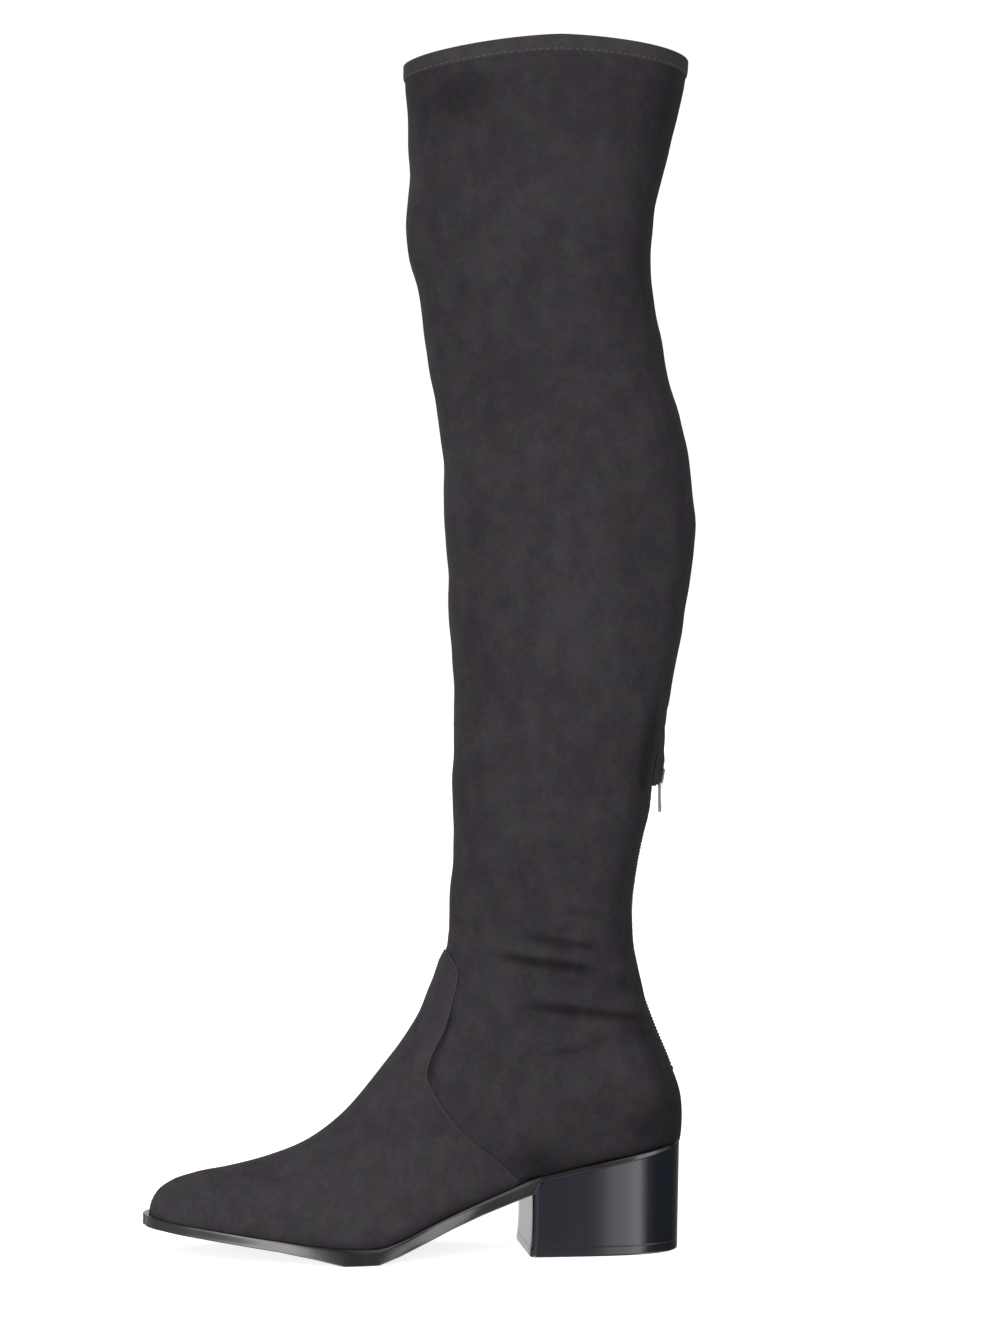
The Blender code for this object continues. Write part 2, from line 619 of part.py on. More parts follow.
def build_zip_slider(pieces, cutters):
    """Plate down to the tape with a narrower nose, a channel for the teeth, and the pull's bail."""
    half = SLIDER_LENGTH / 2
    outline = [
        (SLIDER_HALF - SLIDER_CORNER, half),
        (SLIDER_HALF, half - SLIDER_CORNER),
        (SLIDER_HALF, -SLIDER_CORNER),
        (SLIDER_NOSE_HALF, -half),
    ]
    outline += [(-x, y) for x, y in reversed(outline)]
    slider = add_object("zip_slider", plate(outline, GAP - WALL, SLIDER_PROUD), pieces, METAL)
    wide = COIL_HALF + GAP
    low = (-wide, -half - PAST, -WALL - PAST)
    channel = box(low, (wide, COIL_INSIDE + GAP - half, COIL_PROUD + GAP))
    boolean(slider, "DIFFERENCE", add_object("slider_channel", channel, cutters))
    low = (-BAIL_HALF, -BAIL_REACH, COIL_PROUD + PAST)
    arch = box(low, (BAIL_HALF, BAIL_REACH, BAIL_PROUD))
    boolean(slider, "UNION", add_object("bail", arch, cutters))
    reach = BAIL_REACH - BAIL_THICKNESS
    low = (-BAIL_HALF - PAST, -reach, SLIDER_PROUD)
    eye = box(low, (BAIL_HALF + PAST, reach, BAIL_PROUD - BAIL_THICKNESS))
    boolean(slider, "DIFFERENCE", add_object("bail_eye", eye, cutters))
    for name in ("slider_channel", "bail", "bail_eye", "zip_slider"):
        bpy.data.objects[name].matrix_world = slider_frame()


def build_zip_pull(pieces, cutters):
    """Flat tab that hangs straight down. Its origin is on its hinge, the bar through the bail."""
    half = PULL_THICKNESS / 2
    outline = [
        (PULL_HEAD_HALF - half, half),
        (PULL_HEAD_HALF, 0.0),
        (PULL_HEAD_HALF, -PULL_EYE_LENGTH - half),
        (PULL_NECK_HALF, -PULL_EYE_LENGTH - PULL_NECK_HALF),
        (PULL_HALF, PULL_HALF - PULL_LENGTH),
        (0.8 * PULL_HALF, 0.3 * PULL_HALF - PULL_LENGTH),
        (0.4 * PULL_HALF, -PULL_LENGTH),
    ]
    outline += [(-x, y) for x, y in reversed(outline)]
    pull = add_object("zip_pull", plate(outline, -half, half), pieces, METAL)
    wide = BAIL_HALF + PULL_PLAY
    eye = box((-wide, -PULL_EYE_LENGTH, -PAST), (wide, -half, PAST))
    boolean(pull, "DIFFERENCE", add_object("pull_eye", eye, cutters))
    point, _, outward = zip_line(PULL_AXIS_Z)
    hinge = Matrix.Translation((point + outward * PULL_AXIS_PROUD) * MM)
    for name in ("pull_eye", "zip_pull"):
        bpy.data.objects[name].matrix_world = hinge @ Matrix.Rotation(math.pi / 2, 4, "X")


def main():
    clear_scene()
    pieces = new_collection("over_the_knee_boot")
    cutters = new_collection("cutters")
    below = cutter_below_upper(cutters, GAP)
    build_upper(pieces, cutters, below)
    build_vamp(pieces, cutters, below)
    build_collar_hem(pieces, cutters)
    build_insole(pieces, cutters)
    build_outsole(pieces)
    build_heel(pieces, cutters)
    build_zip_tape(pieces, cutters)
    build_zip_coil(pieces)
    build_zip_garage(pieces, cutters)
    build_zip_slider(pieces, cutters)
    build_zip_pull(pieces, cutters)


main()
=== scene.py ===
"""Over-the-knee boot for the left foot, in brushed black suede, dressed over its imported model.

The boot stands on its sole and heel with its toe towards -Y. Its outer side is +X. Tables are in
millimetres. Every piece is made by an operator of its own, from the sizes and colours of the
property groups below.
"""

import math
from collections import namedtuple

import bmesh
import bpy
import numpy as np
from mathutils import Matrix, Vector


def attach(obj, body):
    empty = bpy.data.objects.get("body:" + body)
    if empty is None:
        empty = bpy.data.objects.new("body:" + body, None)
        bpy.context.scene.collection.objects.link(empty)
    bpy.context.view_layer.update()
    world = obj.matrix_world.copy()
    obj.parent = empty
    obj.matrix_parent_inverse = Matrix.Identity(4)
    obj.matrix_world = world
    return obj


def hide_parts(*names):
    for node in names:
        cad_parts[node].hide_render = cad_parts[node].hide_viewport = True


bl_info = {
    "name": "Over-the-knee boot",
    "version": (1, 0, 0),
    "blender": (4, 5, 0),
    "location": "3D View > Sidebar > Boot",
    "description": "Models and finishes an over-the-knee boot around its packed solids",
    "category": "Object",
}

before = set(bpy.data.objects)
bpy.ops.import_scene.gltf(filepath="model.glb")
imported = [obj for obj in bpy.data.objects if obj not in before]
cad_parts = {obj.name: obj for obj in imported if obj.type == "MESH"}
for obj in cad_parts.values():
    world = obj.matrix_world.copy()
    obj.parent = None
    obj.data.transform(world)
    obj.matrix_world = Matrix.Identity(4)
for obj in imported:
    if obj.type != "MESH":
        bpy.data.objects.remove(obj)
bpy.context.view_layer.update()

MM = 0.001

PAINTED_SHADING_ATTRIBUTE = "nap_shade"  # above 0 where shade is painted on, below 0 where highlight is painted on
TINY = 1e-9               # keeps lengths from being divided by nothing

# ---------------------------------------------------------------- tables, in millimetres

# The upper, section by section from toe to collar. Each section is flat and runs from its back or
# base point to its front point. half: half widths at the two ends before they round off. power: how
# square each end is, where 2 is an ellipse. shift: middle of the section towards the outer side.
Section = namedtuple(
    "Section",
    "front_y front_z back_y back_z back_half front_half back_power front_power shift",
)
SECTIONS = [Section(*row) for row in (
    (-124.6, 17.5, -124.5, 13.0, 1.5, 1.0, 2.5, 2.0, -7.0),
    (-123.4, 23.6, -122.4, 11.6, 9.6, 7.6, 3.0, 2.1, -7.0),
    (-120.9, 27.8, -119.4, 11.2, 15.2, 12.6, 3.5, 2.2, -6.8),
    (-115.4, 31.9, -114.0, 10.2, 21.0, 17.4, 4.0, 2.2, -6.4),
    (-104.4, 35.7, -104.0, 9.0, 27.6, 22.6, 4.5, 2.2, -5.4),
    (-88.6, 38.8, -88.0, 7.2, 33.8, 27.0, 5.0, 2.1, -3.8),
    (-70.3, 43.6, -71.0, 4.8, 38.0, 29.6, 5.0, 2.1, -1.6),
    (-52.1, 51.2, -54.0, 2.6, 39.6, 30.6, 5.0, 2.0, 0.4),
    (-35.9, 63.3, -38.0, 0.9, 39.6, 30.6, 5.0, 2.0, 1.4),
    (-20.9, 80.6, -22.0, 0.8, 38.0, 30.6, 5.0, 2.0, 1.8),
    (-9.3, 95.6, -6.0, 6.6, 35.6, 31.2, 5.0, 2.1, 2.0),
    (0.4, 110.0, 12.0, 14.8, 32.6, 33.0, 4.6, 2.2, 1.8),
    (5.9, 123.3, 34.0, 22.0, 30.0, 35.6, 4.2, 2.2, 1.0),
    (9.9, 134.2, 62.0, 29.4, 29.4, 37.6, 3.8, 2.2, 0.2),
    (12.2, 141.0, 90.0, 35.2, 30.2, 38.6, 3.4, 2.2, 0.0),
    (12.6, 145.5, 110.0, 39.0, 31.0, 38.8, 3.0, 2.2, 0.0),
    (13.1, 149.0, 120.4, 45.0, 31.4, 38.6, 2.8, 2.2, 0.0),
    (13.4, 152.6, 122.2, 58.0, 31.6, 38.2, 2.6, 2.2, 0.0),
    (13.7, 156.8, 121.6, 71.0, 31.8, 37.8, 2.5, 2.2, 0.0),
    (13.9, 161.6, 116.5, 86.5, 32.2, 37.4, 2.4, 2.2, 0.0),
    (14.2, 167.4, 109.6, 103.0, 33.0, 37.2, 2.3, 2.2, 0.0),
    (14.4, 174.4, 103.1, 121.0, 34.0, 37.2, 2.25, 2.2, 0.0),
    (14.6, 182.4, 99.3, 140.0, 35.2, 37.4, 2.2, 2.2, 0.0),
    (14.7, 191.0, 98.7, 160.0, 36.6, 38.0, 2.2, 2.2, 0.0),
    (14.9, 200.5, 101.3, 180.0, 38.4, 38.8, 2.2, 2.2, 0.0),
    (15.2, 211.0, 105.5, 200.0, 40.4, 39.6, 2.15, 2.15, 0.0),
    (15.5, 225.0, 108.8, 221.0, 42.6, 41.0, 2.15, 2.1, 0.0),
    (15.7, 242.0, 112.4, 242.0, 45.0, 42.2, 2.15, 2.1, 0.0),
    (15.4, 258.0, 115.9, 258.0, 47.4, 43.2, 2.15, 2.1, 0.0),
    (14.3, 278.0, 120.9, 278.0, 50.4, 44.8, 2.15, 2.1, 0.0),
    (13.1, 300.0, 123.7, 300.0, 53.2, 46.6, 2.1, 2.1, 0.0),
    (11.8, 337.0, 127.9, 337.0, 56.4, 49.6, 2.1, 2.1, 0.0),
    (10.5, 362.0, 126.1, 362.0, 55.6, 50.4, 2.1, 2.1, 0.0),
    (7.7, 388.0, 120.5, 388.0, 53.2, 50.4, 2.1, 2.1, 0.0),
    (3.7, 414.0, 113.7, 414.0, 51.0, 50.2, 2.1, 2.1, 0.0),
    (-0.5, 441.0, 108.3, 441.0, 51.0, 49.6, 2.15, 2.1, 0.0),
    (-4.9, 460.0, 107.5, 460.0, 52.0, 50.4, 2.15, 2.05, 0.0),
    (-6.9, 476.0, 108.5, 476.0, 53.0, 51.4, 2.15, 2.1, 0.0),
    (-5.5, 500.0, 112.5, 500.0, 55.0, 51.6, 2.1, 2.05, 0.0),
    (-5.7, 526.0, 119.4, 526.0, 56.8, 52.0, 2.1, 2.0, 0.0),
    (-7.3, 546.0, 123.3, 546.0, 58.0, 52.8, 2.1, 2.0, 0.0),
    (-7.2, 556.0, 124.0, 556.0, 58.2, 53.0, 2.1, 2.0, 0.0),
)]
HEEL_SEAT_Z = 42.0        # sections whose back is above this run to the back of the boot
HEEL_BACK_RADIUS = 23.0   # roundness of the back of the heel, seen from above
HEEL_BACK_FLAT = 2.0      # half width that the very back keeps
HEEL_CUP_TOP = 150.0      # the back is rounded like the heel up to this height
HEEL_CUP_DEPTH = 60.0     # and this far in from the back
HEEL_CUP_FADE = 34.0      # over which the rounding dies out towards the shaft
HEEL_CUP_SOFTNESS = 3.0   # how softly it takes over from the section's own width
COLLAR_START = 520.0      # height where the rings start to bend towards the collar's rim
COLLAR_DIP_FRONT = 5.8    # the rim is lower in front and behind than at its sides
COLLAR_DIP_BACK = 3.4
COLLAR_DIP_POWER = 1.3
RIM_FROM = 545.0          # height where a layer starts to be moved outward on the level
RIM_OVER = 8.0            # and the height over which that comes in
ANKLE_LOW = 120.0         # heights between which the rings lie closer together
ANKLE_HIGH = 205.0
AROUND = 168              # points in each ring

# The sole from toe to heel: top and bottom heights, half width and shift of its outline, and how
# far its lower edge is drawn in. The edge leans in under the toes and along the waist.
Station = namedtuple("Station", "y top bottom half shift lean")
SOLE = [Station(*row) for row in (
    (-127.9, 18.9, 13.7, 3.0, -7.2, 1.2),
    (-127.0, 18.8, 13.4, 7.2, -7.2, 1.4),
    (-124.5, 18.5, 13.1, 12.8, -7.1, 1.7),
    (-120.0, 18.0, 12.7, 18.6, -6.9, 2.0),
    (-114.0, 17.2, 12.1, 24.4, -6.4, 2.2),
    (-102.0, 15.9, 10.8, 31.0, -5.2, 2.3),
    (-86.0, 13.9, 8.9, 36.8, -3.4, 2.3),
    (-68.0, 11.6, 6.4, 40.0, -1.2, 2.2),
    (-52.0, 9.4, 3.3, 41.4, 0.6, 1.8),
    (-39.0, 8.0, 0.0, 41.2, 1.4, 1.2),
    (-31.0, 7.6, 0.0, 40.5, 1.7, 1.0),
    (-23.0, 7.7, 0.0, 39.6, 1.9, 1.4),
    (-13.0, 10.6, 3.6, 38.0, 2.1, 2.0),
    (-1.0, 16.2, 9.2, 36.6, 2.1, 2.2),
    (11.0, 21.3, 14.6, 34.0, 1.8, 2.1),
    (25.0, 26.8, 20.4, 31.4, 1.2, 1.1),
    (39.0, 32.4, 25.5, 30.0, 0.6, 0.9),
    (49.4, 36.4, 29.2, 29.4, 0.2, 0.8),
    (52.0, 37.0, 34.6, 29.4, 0.1, 0.5),
    (68.0, 40.5, 38.2, 29.6, 0.0, 0.4),
    (86.0, 44.1, 41.8, 29.3, 0.0, 0.4),
    (100.0, 46.9, 44.6, 27.0, 0.0, 0.4),
    (110.0, 49.1, 46.8, 22.4, 0.0, 0.4),
    (116.5, 50.7, 48.4, 16.2, 0.0, 0.4),
    (120.0, 51.6, 49.3, 8.6, 0.0, 0.4),
    (121.3, 51.9, 49.6, 3.0, 0.0, 0.4),
)]

# Back edge of the vamp in side view, from in front of the ankle down past the sole.
EdgePoint = namedtuple("EdgePoint", "y z")
VAMP_EDGE = [EdgePoint(*row) for row in (
    (-20.0, 160.0), (7.0, 147.0), (10.2, 140.5), (14.4, 130.5), (12.6, 121.0), (8.0, 105.5),
    (0.7, 90.3), (-0.6, 85.0), (3.2, 75.5), (14.0, 60.5), (36.5, 41.0), (46.0, 31.0), (52.0, 24.0),
    (58.0, 10.0),
)]

# The padded flap over the top end of the zip, from its top down to its two cheeks beside the slider.
Flap = namedtuple("Flap", "z half proud")
GARAGE = [Flap(*row) for row in (
    (262.0, 2.0, 0.3), (258.0, 7.0, 0.5), (252.0, 10.4, 0.9), (243.0, 12.6, 1.9),
    (234.0, 13.4, 3.3), (226.0, 13.3, 4.6), (219.4, 12.4, 5.1), (217.2, 11.8, 4.5),
    (215.4, 11.0, 1.0),
)]
FLAP_CURVE = 60.0         # radius of the flap's outer face, seen from above
FLAP_ROOT = 1.2           # how far the flap's underside reaches into the wall it is sewn to
FLAP_PART = 226.5         # height from which the flap is parted into its cheeks
FLAP_OVERLAP = 1.2        # height that the cheeks share with the flap's whole part
CHEEK_INSIDE = 4.8        # free half width between the cheeks
CRUMPLE = 0.16            # height of the small waves across the flap
CRUMPLE_FINE = 1.7        # their fineness, and how much they lean
CRUMPLE_LEAN = 0.11
FLAP_STEP = 0.8           # height between two rings of its cushions
FLAP_GRAIN = 0.4          # fineness of the flap's own mesh
FLAP_FADE = 0.75          # below 1 the flap stands up steeply at its edges, at 1 it fades out
FLAP_HOLLOW = 0.35        # how deep the skin is drawn in beside the flap
FLAP_PAINTED_SHADE = 0.55         # and how much painted shade darkens the skin there
HOLLOW_RUN = (212.0, 254.0, 8.0, 14.0)  # lower and upper end, and how it comes in and dies out
HOLLOW_IN = 8.0           # how far in front of the back line it is deepest
HOLLOW_WIDE = 3.5         # its half width

# Soft creases of the ankle. Each runs from (y0, z0) to (y1, z1) on one side, +1 outer or -1 inner,
# bows up in its middle, is a trough of that depth and half width with a ridge above it, and fades
# out over fade at both ends. shade: how much darker the trough is painted, as painted shade.
Crease = namedtuple("Crease", "side y0 z0 y1 z1 bow depth width ridge fade shade")
CREASES = [Crease(*row) for row in (
    (1, 25.0, 139.0, 86.0, 130.4, 0.2, 1.60, 2.0, 1.50, 20.0, 0.66),
    (1, 36.0, 116.2, 110.0, 106.8, 1.0, 1.70, 2.3, 1.60, 23.0, 0.72),
    (1, 42.0, 147.9, 86.0, 141.4, -0.6, 0.90, 2.0, 0.80, 14.0, 0.42),
    (1, 54.0, 150.0, 70.0, 151.5, 0.2, 0.40, 1.6, 0.30, 6.0, 0.25),
    (1, 60.0, 159.4, 86.0, 155.2, 0.3, 0.60, 2.2, 0.45, 8.0, 0.30),
    (1, 52.0, 93.0, 90.0, 104.0, -1.6, 0.55, 2.3, 0.40, 9.0, 0.40),
    (1, 76.0, 127.5, 99.0, 122.0, 0.5, 0.70, 3.4, 0.40, 10.0, 0.28),
    (1, 84.0, 104.5, 106.0, 99.0, 0.4, 0.60, 4.2, 0.30, 9.0, 0.35),
    (1, 20.0, 101.0, 46.0, 97.0, 1.0, 0.35, 3.0, 0.30, 10.0, 0.10),
    (1, 63.0, 71.0, 92.0, 67.0, 1.0, 0.30, 3.0, 0.25, 10.0, 0.10),
    (-1, 34.0, 138.0, 80.0, 131.0, 0.8, 1.60, 2.0, 1.20, 14.0, 0.80),
    (-1, 40.0, 121.0, 92.0, 113.0, 1.4, 1.70, 2.1, 1.30, 15.0, 0.85),
    (-1, 48.0, 151.0, 80.0, 147.0, 0.8, 0.70, 2.0, 0.55, 11.0, 0.30),
    (-1, 58.0, 96.0, 86.0, 103.0, -0.8, 0.60, 2.2, 0.45, 9.0, 0.35),
)]
CREASE_SIDE = 12.0        # a crease comes in over about this much of the way out from the middle plane
CREASE_START = 0.2        # share of that where it begins
# A crease in section. Each part lies that far over its line and is that wide, in half widths of the
# trough: the ridge and the lower swell under it, and the trough's painted shade and the ridge's painted
# highlight.
RIDGE = (2.1, 1.5)
SWELL = (-2.6, 1.9)
TROUGH_PAINTED_SHADE = (0.25, 1.05)
RIDGE_PAINTED_HIGHLIGHT = (2.6, 1.3)
SWELL_SHARE = 0.35        # height of the swell as a share of the ridge's
RIDGE_HIGHLIGHT_SHARE = 0.35      # and how strong the painted highlight is, as a share of the painted shade

# Broad soft waves of the skin: wavelength up the leg, turns round it, phase and height.
Wave = namedtuple("Wave", "length turns phase height")
WAVES = [Wave(*row) for row in (
    (61.0, 1, 0.4, 0.34), (43.0, 2, 2.1, 0.24), (27.0, 3, 4.0, 0.14), (97.0, 2, 5.2, 0.30),
    (17.0, 4, 1.3, 0.07),
)]
WAVES_AXIS = 55.0         # how far behind the middle the line lies that the waves go round
WAVES_RUN = (60.0, 548.0, 60.0, 40.0)  # lower and upper end, and how they come in and die out


# Broad soft patches painted darker: painted shade low by the sole, round the back of the heel and at
# the back of the collar, and a darker tone over the ankle and the front of the shaft. The middle, half
# width along y and half height of each, and how much darker it is.
Patch = namedtuple("Patch", "y z wide high shade")
PATCHES = [Patch(*row) for row in (
    (50.0, 150.0, 31.0, 55.0, 0.38), (12.0, 530.0, 24.0, 17.0, 0.55),
    (5.0, 450.0, 28.0, 60.0, 0.22), (103.0, 530.0, 16.0, 22.0, 0.40), (50.0, 44.0, 17.0, 9.0, 0.50),
    (103.0, 60.0, 14.0, 13.0, 0.50),
)]
BACK_PAINTED_SHADE = 0.45         # painted shade: how much darker the back of the leg is painted
BACK_SHADE_FROM = 19.0    # how far in front of the back line that begins
BACK_SHADE_FULL = 8.0     # and where it is whole
COUNTER_PAINTED_SHADE = 0.33      # painted shade: how much darker the back of the heel is painted
COUNTER_TOP = 90.0        # height where that shade begins, and the height over which it comes in
COUNTER_FADE = 35.0
COUNTER_FRONT = 25.0      # it begins this far behind the middle, and is whole that much further back
COUNTER_REACH = 30.0


# The seam up the back, a groove with the skin puckered up beside it: height, half width, and how
# far in front of the back line it can reach.
Strip = namedtuple("Strip", "height wide reach")
GROOVE = Strip(-0.55, 0.55, 6.0)
PUCKER = Strip(0.16, 2.6, 8.0)
SEAM_LOW = 55.0           # height of the seam's lower end

# Where the upper is drawn in behind the vamp's free edge, from its lower to its upper end. The hollow
# is wider at its lower end.
TUCK_LOW = 72.0
TUCK_HIGH = 120.0
TUCK_FADE = 14.0
TUCK_DEPTH = 0.55
TUCK_WIDE = 3.2
TUCK_NARROW = 1.4
TUCK_MIDDLE = 0.6         # share of its width that the hollow's middle lies behind the edge
# painted shadow in the hollow behind the vamp's free edge: how much darker it is painted
TUCK_PAINTED_SHADOW = 0.7

# The vamp is pared thinner over that width of its free edge, and less so along the middle of it.
PARED = 0.45
PARED_LESS = 0.15
PARED_WIDTH = 5.0
PARED_LESS_RUN = (74.0, 136.0, 14.0, 12.0)  # lower and upper end, and how it comes in and dies out
VAMP_TOP = 158.0          # height where the vamp's tongue is cut level
SEAT_GAP = 0.05           # between the upper's lower edge and the sole
INSOLE_BELOW = 90.0       # all of the insole lies below this height
SLOT_ROOM = 8.0           # how far past the slot's ends its cuts run on

# Outer face of the collar's hem: share of its height, and how much thinner it is there.
HEM_OUTSIDE = [
    (0.02, 0.72), (0.06, 0.55), (0.12, 0.36), (0.2, 0.16), (0.3, 0.04), (0.42, 0.0), (0.6, 0.0), (0.8, 0.0),
]
HEM_LIP = 0.06            # the hem's lower lip lies this close to the skin
HEM_TURN = 0.94           # share of the height where the hem starts to turn over the rim
HEM_CROWN = 0.6           # how far the turned hem stands over that
HEM_RINGS = 40            # rings of the skin, from the rim down, that the hem is laid on
HEM_STITCH = 0.15         # share of the height where the stitches run
HEM_STITCH_THIN = 0.28    # how much thinner the hem is under the stitches

# The heel, from the underside of the sole down to the floor.
HEEL_SEAM = 0.3           # between the sole and the block
PIECE_SEAM = 0.1          # between the block and its rubber top piece
HEEL_TAPER = 0.06         # share by which it is narrower at the floor
HEEL_HALF = 29.0          # its half width, the measure by which rounded edges are drawn in
HEEL_TAIL = 90.0          # from here back the points of its outline crowd towards the back
BREAST_SHARE = 4          # the breast's own lean dies out over this fraction of the heel's length
# Levels of the heel: height, how far the outline is drawn in all round, and how far its breast
# stands forward. Those of the block's lower edge are counted from its foot, and those of the top
# piece's upper edge from the top down.
Level = namedtuple("Level", "z drawn forward")
BLOCK_FOOT = [Level(0.0, 0.1, 0.75), Level(0.05, 0.02, 0.75), Level(0.15, 0.0, 0.72)]
BLOCK = [
    Level(6.5, 0.0, 0.5), Level(9.0, 0.0, 0.3), Level(14.0, 0.0, 0.1), Level(20.0, 0.0, 0.0),
    Level(25.0, 0.0, 0.0), Level(None, 0.0, 0.0),
]
TOP_PIECE = [
    Level(0.0, 0.6, 0.9), Level(0.1, 0.25, 1.0), Level(0.3, 0.05, 1.1), Level(0.8, 0.0, 1.1),
    Level(2.2, 0.0, 1.0),
]
TOP_PIECE_EDGE = [Level(-0.15, 0.0, 0.8), Level(-0.05, 0.02, 0.8), Level(0.0, 0.1, 0.75)]

# The sole's edge: the radii that round it below and above.
SOLE_ROUND_LOW = 0.8
SOLE_ROUND_HIGH = 0.15
SOLE_END = 0.5            # how far its rounded ends stand out past the table's first and last rows
TREAD_FACES = -0.9        # faces are tread where their normals point down further than this

# Each tooth of the zip and its bottom stop: width, length up the zip, thickness, how far it is sunk
# under the line of the back, and its bevel. A tooth's length is a share of the pitch.
Bar = namedtuple("Bar", "width length thick sunk bevel segments")
TOOTH = Bar(3.1, 0.62, 1.7, 0.45, 0.2, 1)
STOP = Bar(5.2, 2.0, 1.9, 0.4, 0.35, 2)
TOOTH_ASIDE = 1.15        # how far the middle of a tooth is from the zip's middle
TEETH_ABOVE = 3.0         # the first tooth over the zip's lower end
STOP_ABOVE = 1.4          # and the stop

ZIP_BEHIND = 80.0         # everything of the skin that the zip meets is behind this
ZIP_NEAR = 14.0           # and this close to the middle
TAPE_PAST = 9.0           # how far the tape runs on past the slider and past the slot's lower end
SLOT_STITCH_OUT = 1.9     # the stitches beside the slot: how far out they lie
SLOT_STITCH_BELOW = 3.2   # how far below the slot they cross
SLOT_STITCH_TOP = 5.0     # and how far below the slider they end
SLOT_THREAD = 0.45        # thickness of their thread
STITCH_SUNK = 0.25        # share of the thread's thickness that any stitch is sunk by
SKIN_TURN = 0.022         # how much the skin beside the zip turns away to the side, for each mm out

# The studio. Suns: name, bearing and rise of the light, energy, spread in degrees.
SUNS = [
    ("key", -16.0, 24.0, 1.9, 50.0),
    ("overhead", 200.0, 78.0, 0.95, 70.0),
]
# Ambient light: direction it comes from, the cosines between which it grows, and its strength.
AMBIENT = [
    ((1.0, 0.0, 0.0), -0.2, 1.0, 0.25),
    ((0.0, 0.0, -1.0), -0.3, 0.6, 0.57),
    ((0.0, -1.0, 0.0), -0.2, 1.0, 0.12),
    ((-0.82, -0.57, 0.1), 0.55, 0.95, 0.4),
]
# What smooth finishes mirror, by bearing in degrees from the outer side towards the heel. LEVEL is
# near the horizon and LOW far below it, where the leaning edge of the sole looks.
Glow = namedtuple("Glow", "bearing strength")
LEVEL = [Glow(*row) for row in (
    (-180.0, 0.75), (-165.0, 0.72), (-148.0, 0.42), (-100.0, 0.32), (-50.0, 0.35), (-42.0, 0.5),
    (-28.0, 0.6), (-14.0, 0.45), (-5.0, 0.24), (7.0, 0.24), (14.0, 0.75), (20.0, 1.4), (28.0, 1.8),
    (35.0, 2.1), (42.0, 2.0), (48.0, 0.15), (62.0, 0.03), (120.0, 0.05), (168.0, 0.25),
    (180.0, 0.75),
)]
LOW = [Glow(*row) for row in (
    (-180.0, 0.4), (-134.0, 0.35), (-108.0, 0.45), (-90.0, 0.7), (-80.0, 0.95), (-71.0, 1.5),
    (-65.0, 2.2), (-58.0, 3.5), (-50.0, 4.9), (-43.0, 5.5), (-35.0, 4.6), (-26.0, 3.2),
    (-18.0, 1.4), (-10.0, 1.0), (-3.0, 0.65), (10.0, 0.3), (22.0, 0.35), (32.0, 0.45), (38.0, 0.6),
    (42.0, 1.2), (46.0, 2.5), (53.0, 2.9), (64.0, 3.1), (75.0, 1.6), (100.0, 0.5), (180.0, 0.4),
)]
LOW_FROM = 0.30           # sine of the fall where LOW begins to take over from LEVEL
LOW_FULL = 0.45           # and where it has done so
BACKDROP = 1.05           # brightness of the plain backdrop behind the boot
FLOOR_GLOW = 0.84         # light that the floor gives off itself
FLOOR_HALF = 14.0         # half width of the floor, in metres

# The camera, in metres and degrees: the point it looks at, how far off it stands, the bearing that
# it looks along, and its lens for a film of that height.
CAMERA_AIM = (0.0, 0.0369, 0.271)
CAMERA_AWAY = 1.614
CAMERA_LOOK = 173.0
FILM = 36.0
LENS = FILM * 3467.0 / 1333.0


# ---------------------------------------------------------------- sizes and colours


def length(name, description, millimetres):
    """A length that a user can change, shown in the scene's units."""
    return bpy.props.FloatProperty(
        name=name, description=description, default=millimetres * MM, unit="LENGTH", subtype="DISTANCE",
        min=0.0, precision=5,
    )


def colour(name, description, rgb):
    """A colour that a user can change."""
    return bpy.props.FloatVectorProperty(
        name=name, description=description, default=(*rgb, 1.0), size=4, subtype="COLOR", min=0.0, max=1.0
    )


class BootSizes(bpy.types.PropertyGroup):
    """Sizes of the boot's pieces."""

    gap: length("Gap", "Free space between two pieces that touch", 0.3)
    wall: length("Wall", "Suede with its lining", 1.7)
    vamp: length("Vamp", "Thickness of the vamp, laid over the upper", 0.9)
    raw_edge: length("Raw edge", "Width of the paler line along the vamp's free edge", 0.55)
    hem: length("Hem", "Thickness of the collar's hem", 0.6)
    hem_height: length("Hem height", "Height of the hem", 7.6)
    insole: length("Insole", "Thickness of the insole", 3.0)
    ring_step: length("Ring step", "Spacing of the rings of the upper, front and back added", 9.0)
    fine_step: length("Fine ring step", "The same round the ankle, where the creases are", 1.9)
    stitch: length("Stitch", "Length of one stitch", 2.5)
    stitch_pitch: length("Stitch pitch", "From one stitch to the next", 3.3)
    thread: length("Thread", "Thickness of the sewing thread", 0.55)
    breast: length("Heel breast", "Front face of the heel, behind the middle", 48.8)
    top_piece: length("Top piece", "Rubber tread of the heel", 4.2)
    heel_inset: length("Heel inset", "Heel side, inside the edge of the sole", 0.7)
    heel_corner: length("Heel corner", "Radius of the two upright edges beside the breast", 3.0)
    heel_back: length("Heel back", "Back of the heel, behind the middle", 120.4)
    slot_half: length("Zip slot", "Half width of the slot that the zip shows through", 4.6)
    tape_half: length("Zip tape", "Half width of the zip's tape", 9.5)
    tape: length("Tape thickness", "Thickness of the zip's tape", 0.7)
    tooth_pitch: length("Tooth pitch", "From one tooth of the zip to the next", 1.5)
    zip_low: length("Zip bottom", "Height of the lower end of the zip", 82.0)
    zip_high: length("Zip top", "Height of the last tooth that shows", 217.0)
    slider: length("Slider height", "Height of the slider's middle", 220.5)
    slider_length: length("Slider length", "Length of the slider", 10.5)
    metal_edge: length("Metal edge", "Rounding of the slider and the pull", 0.22)


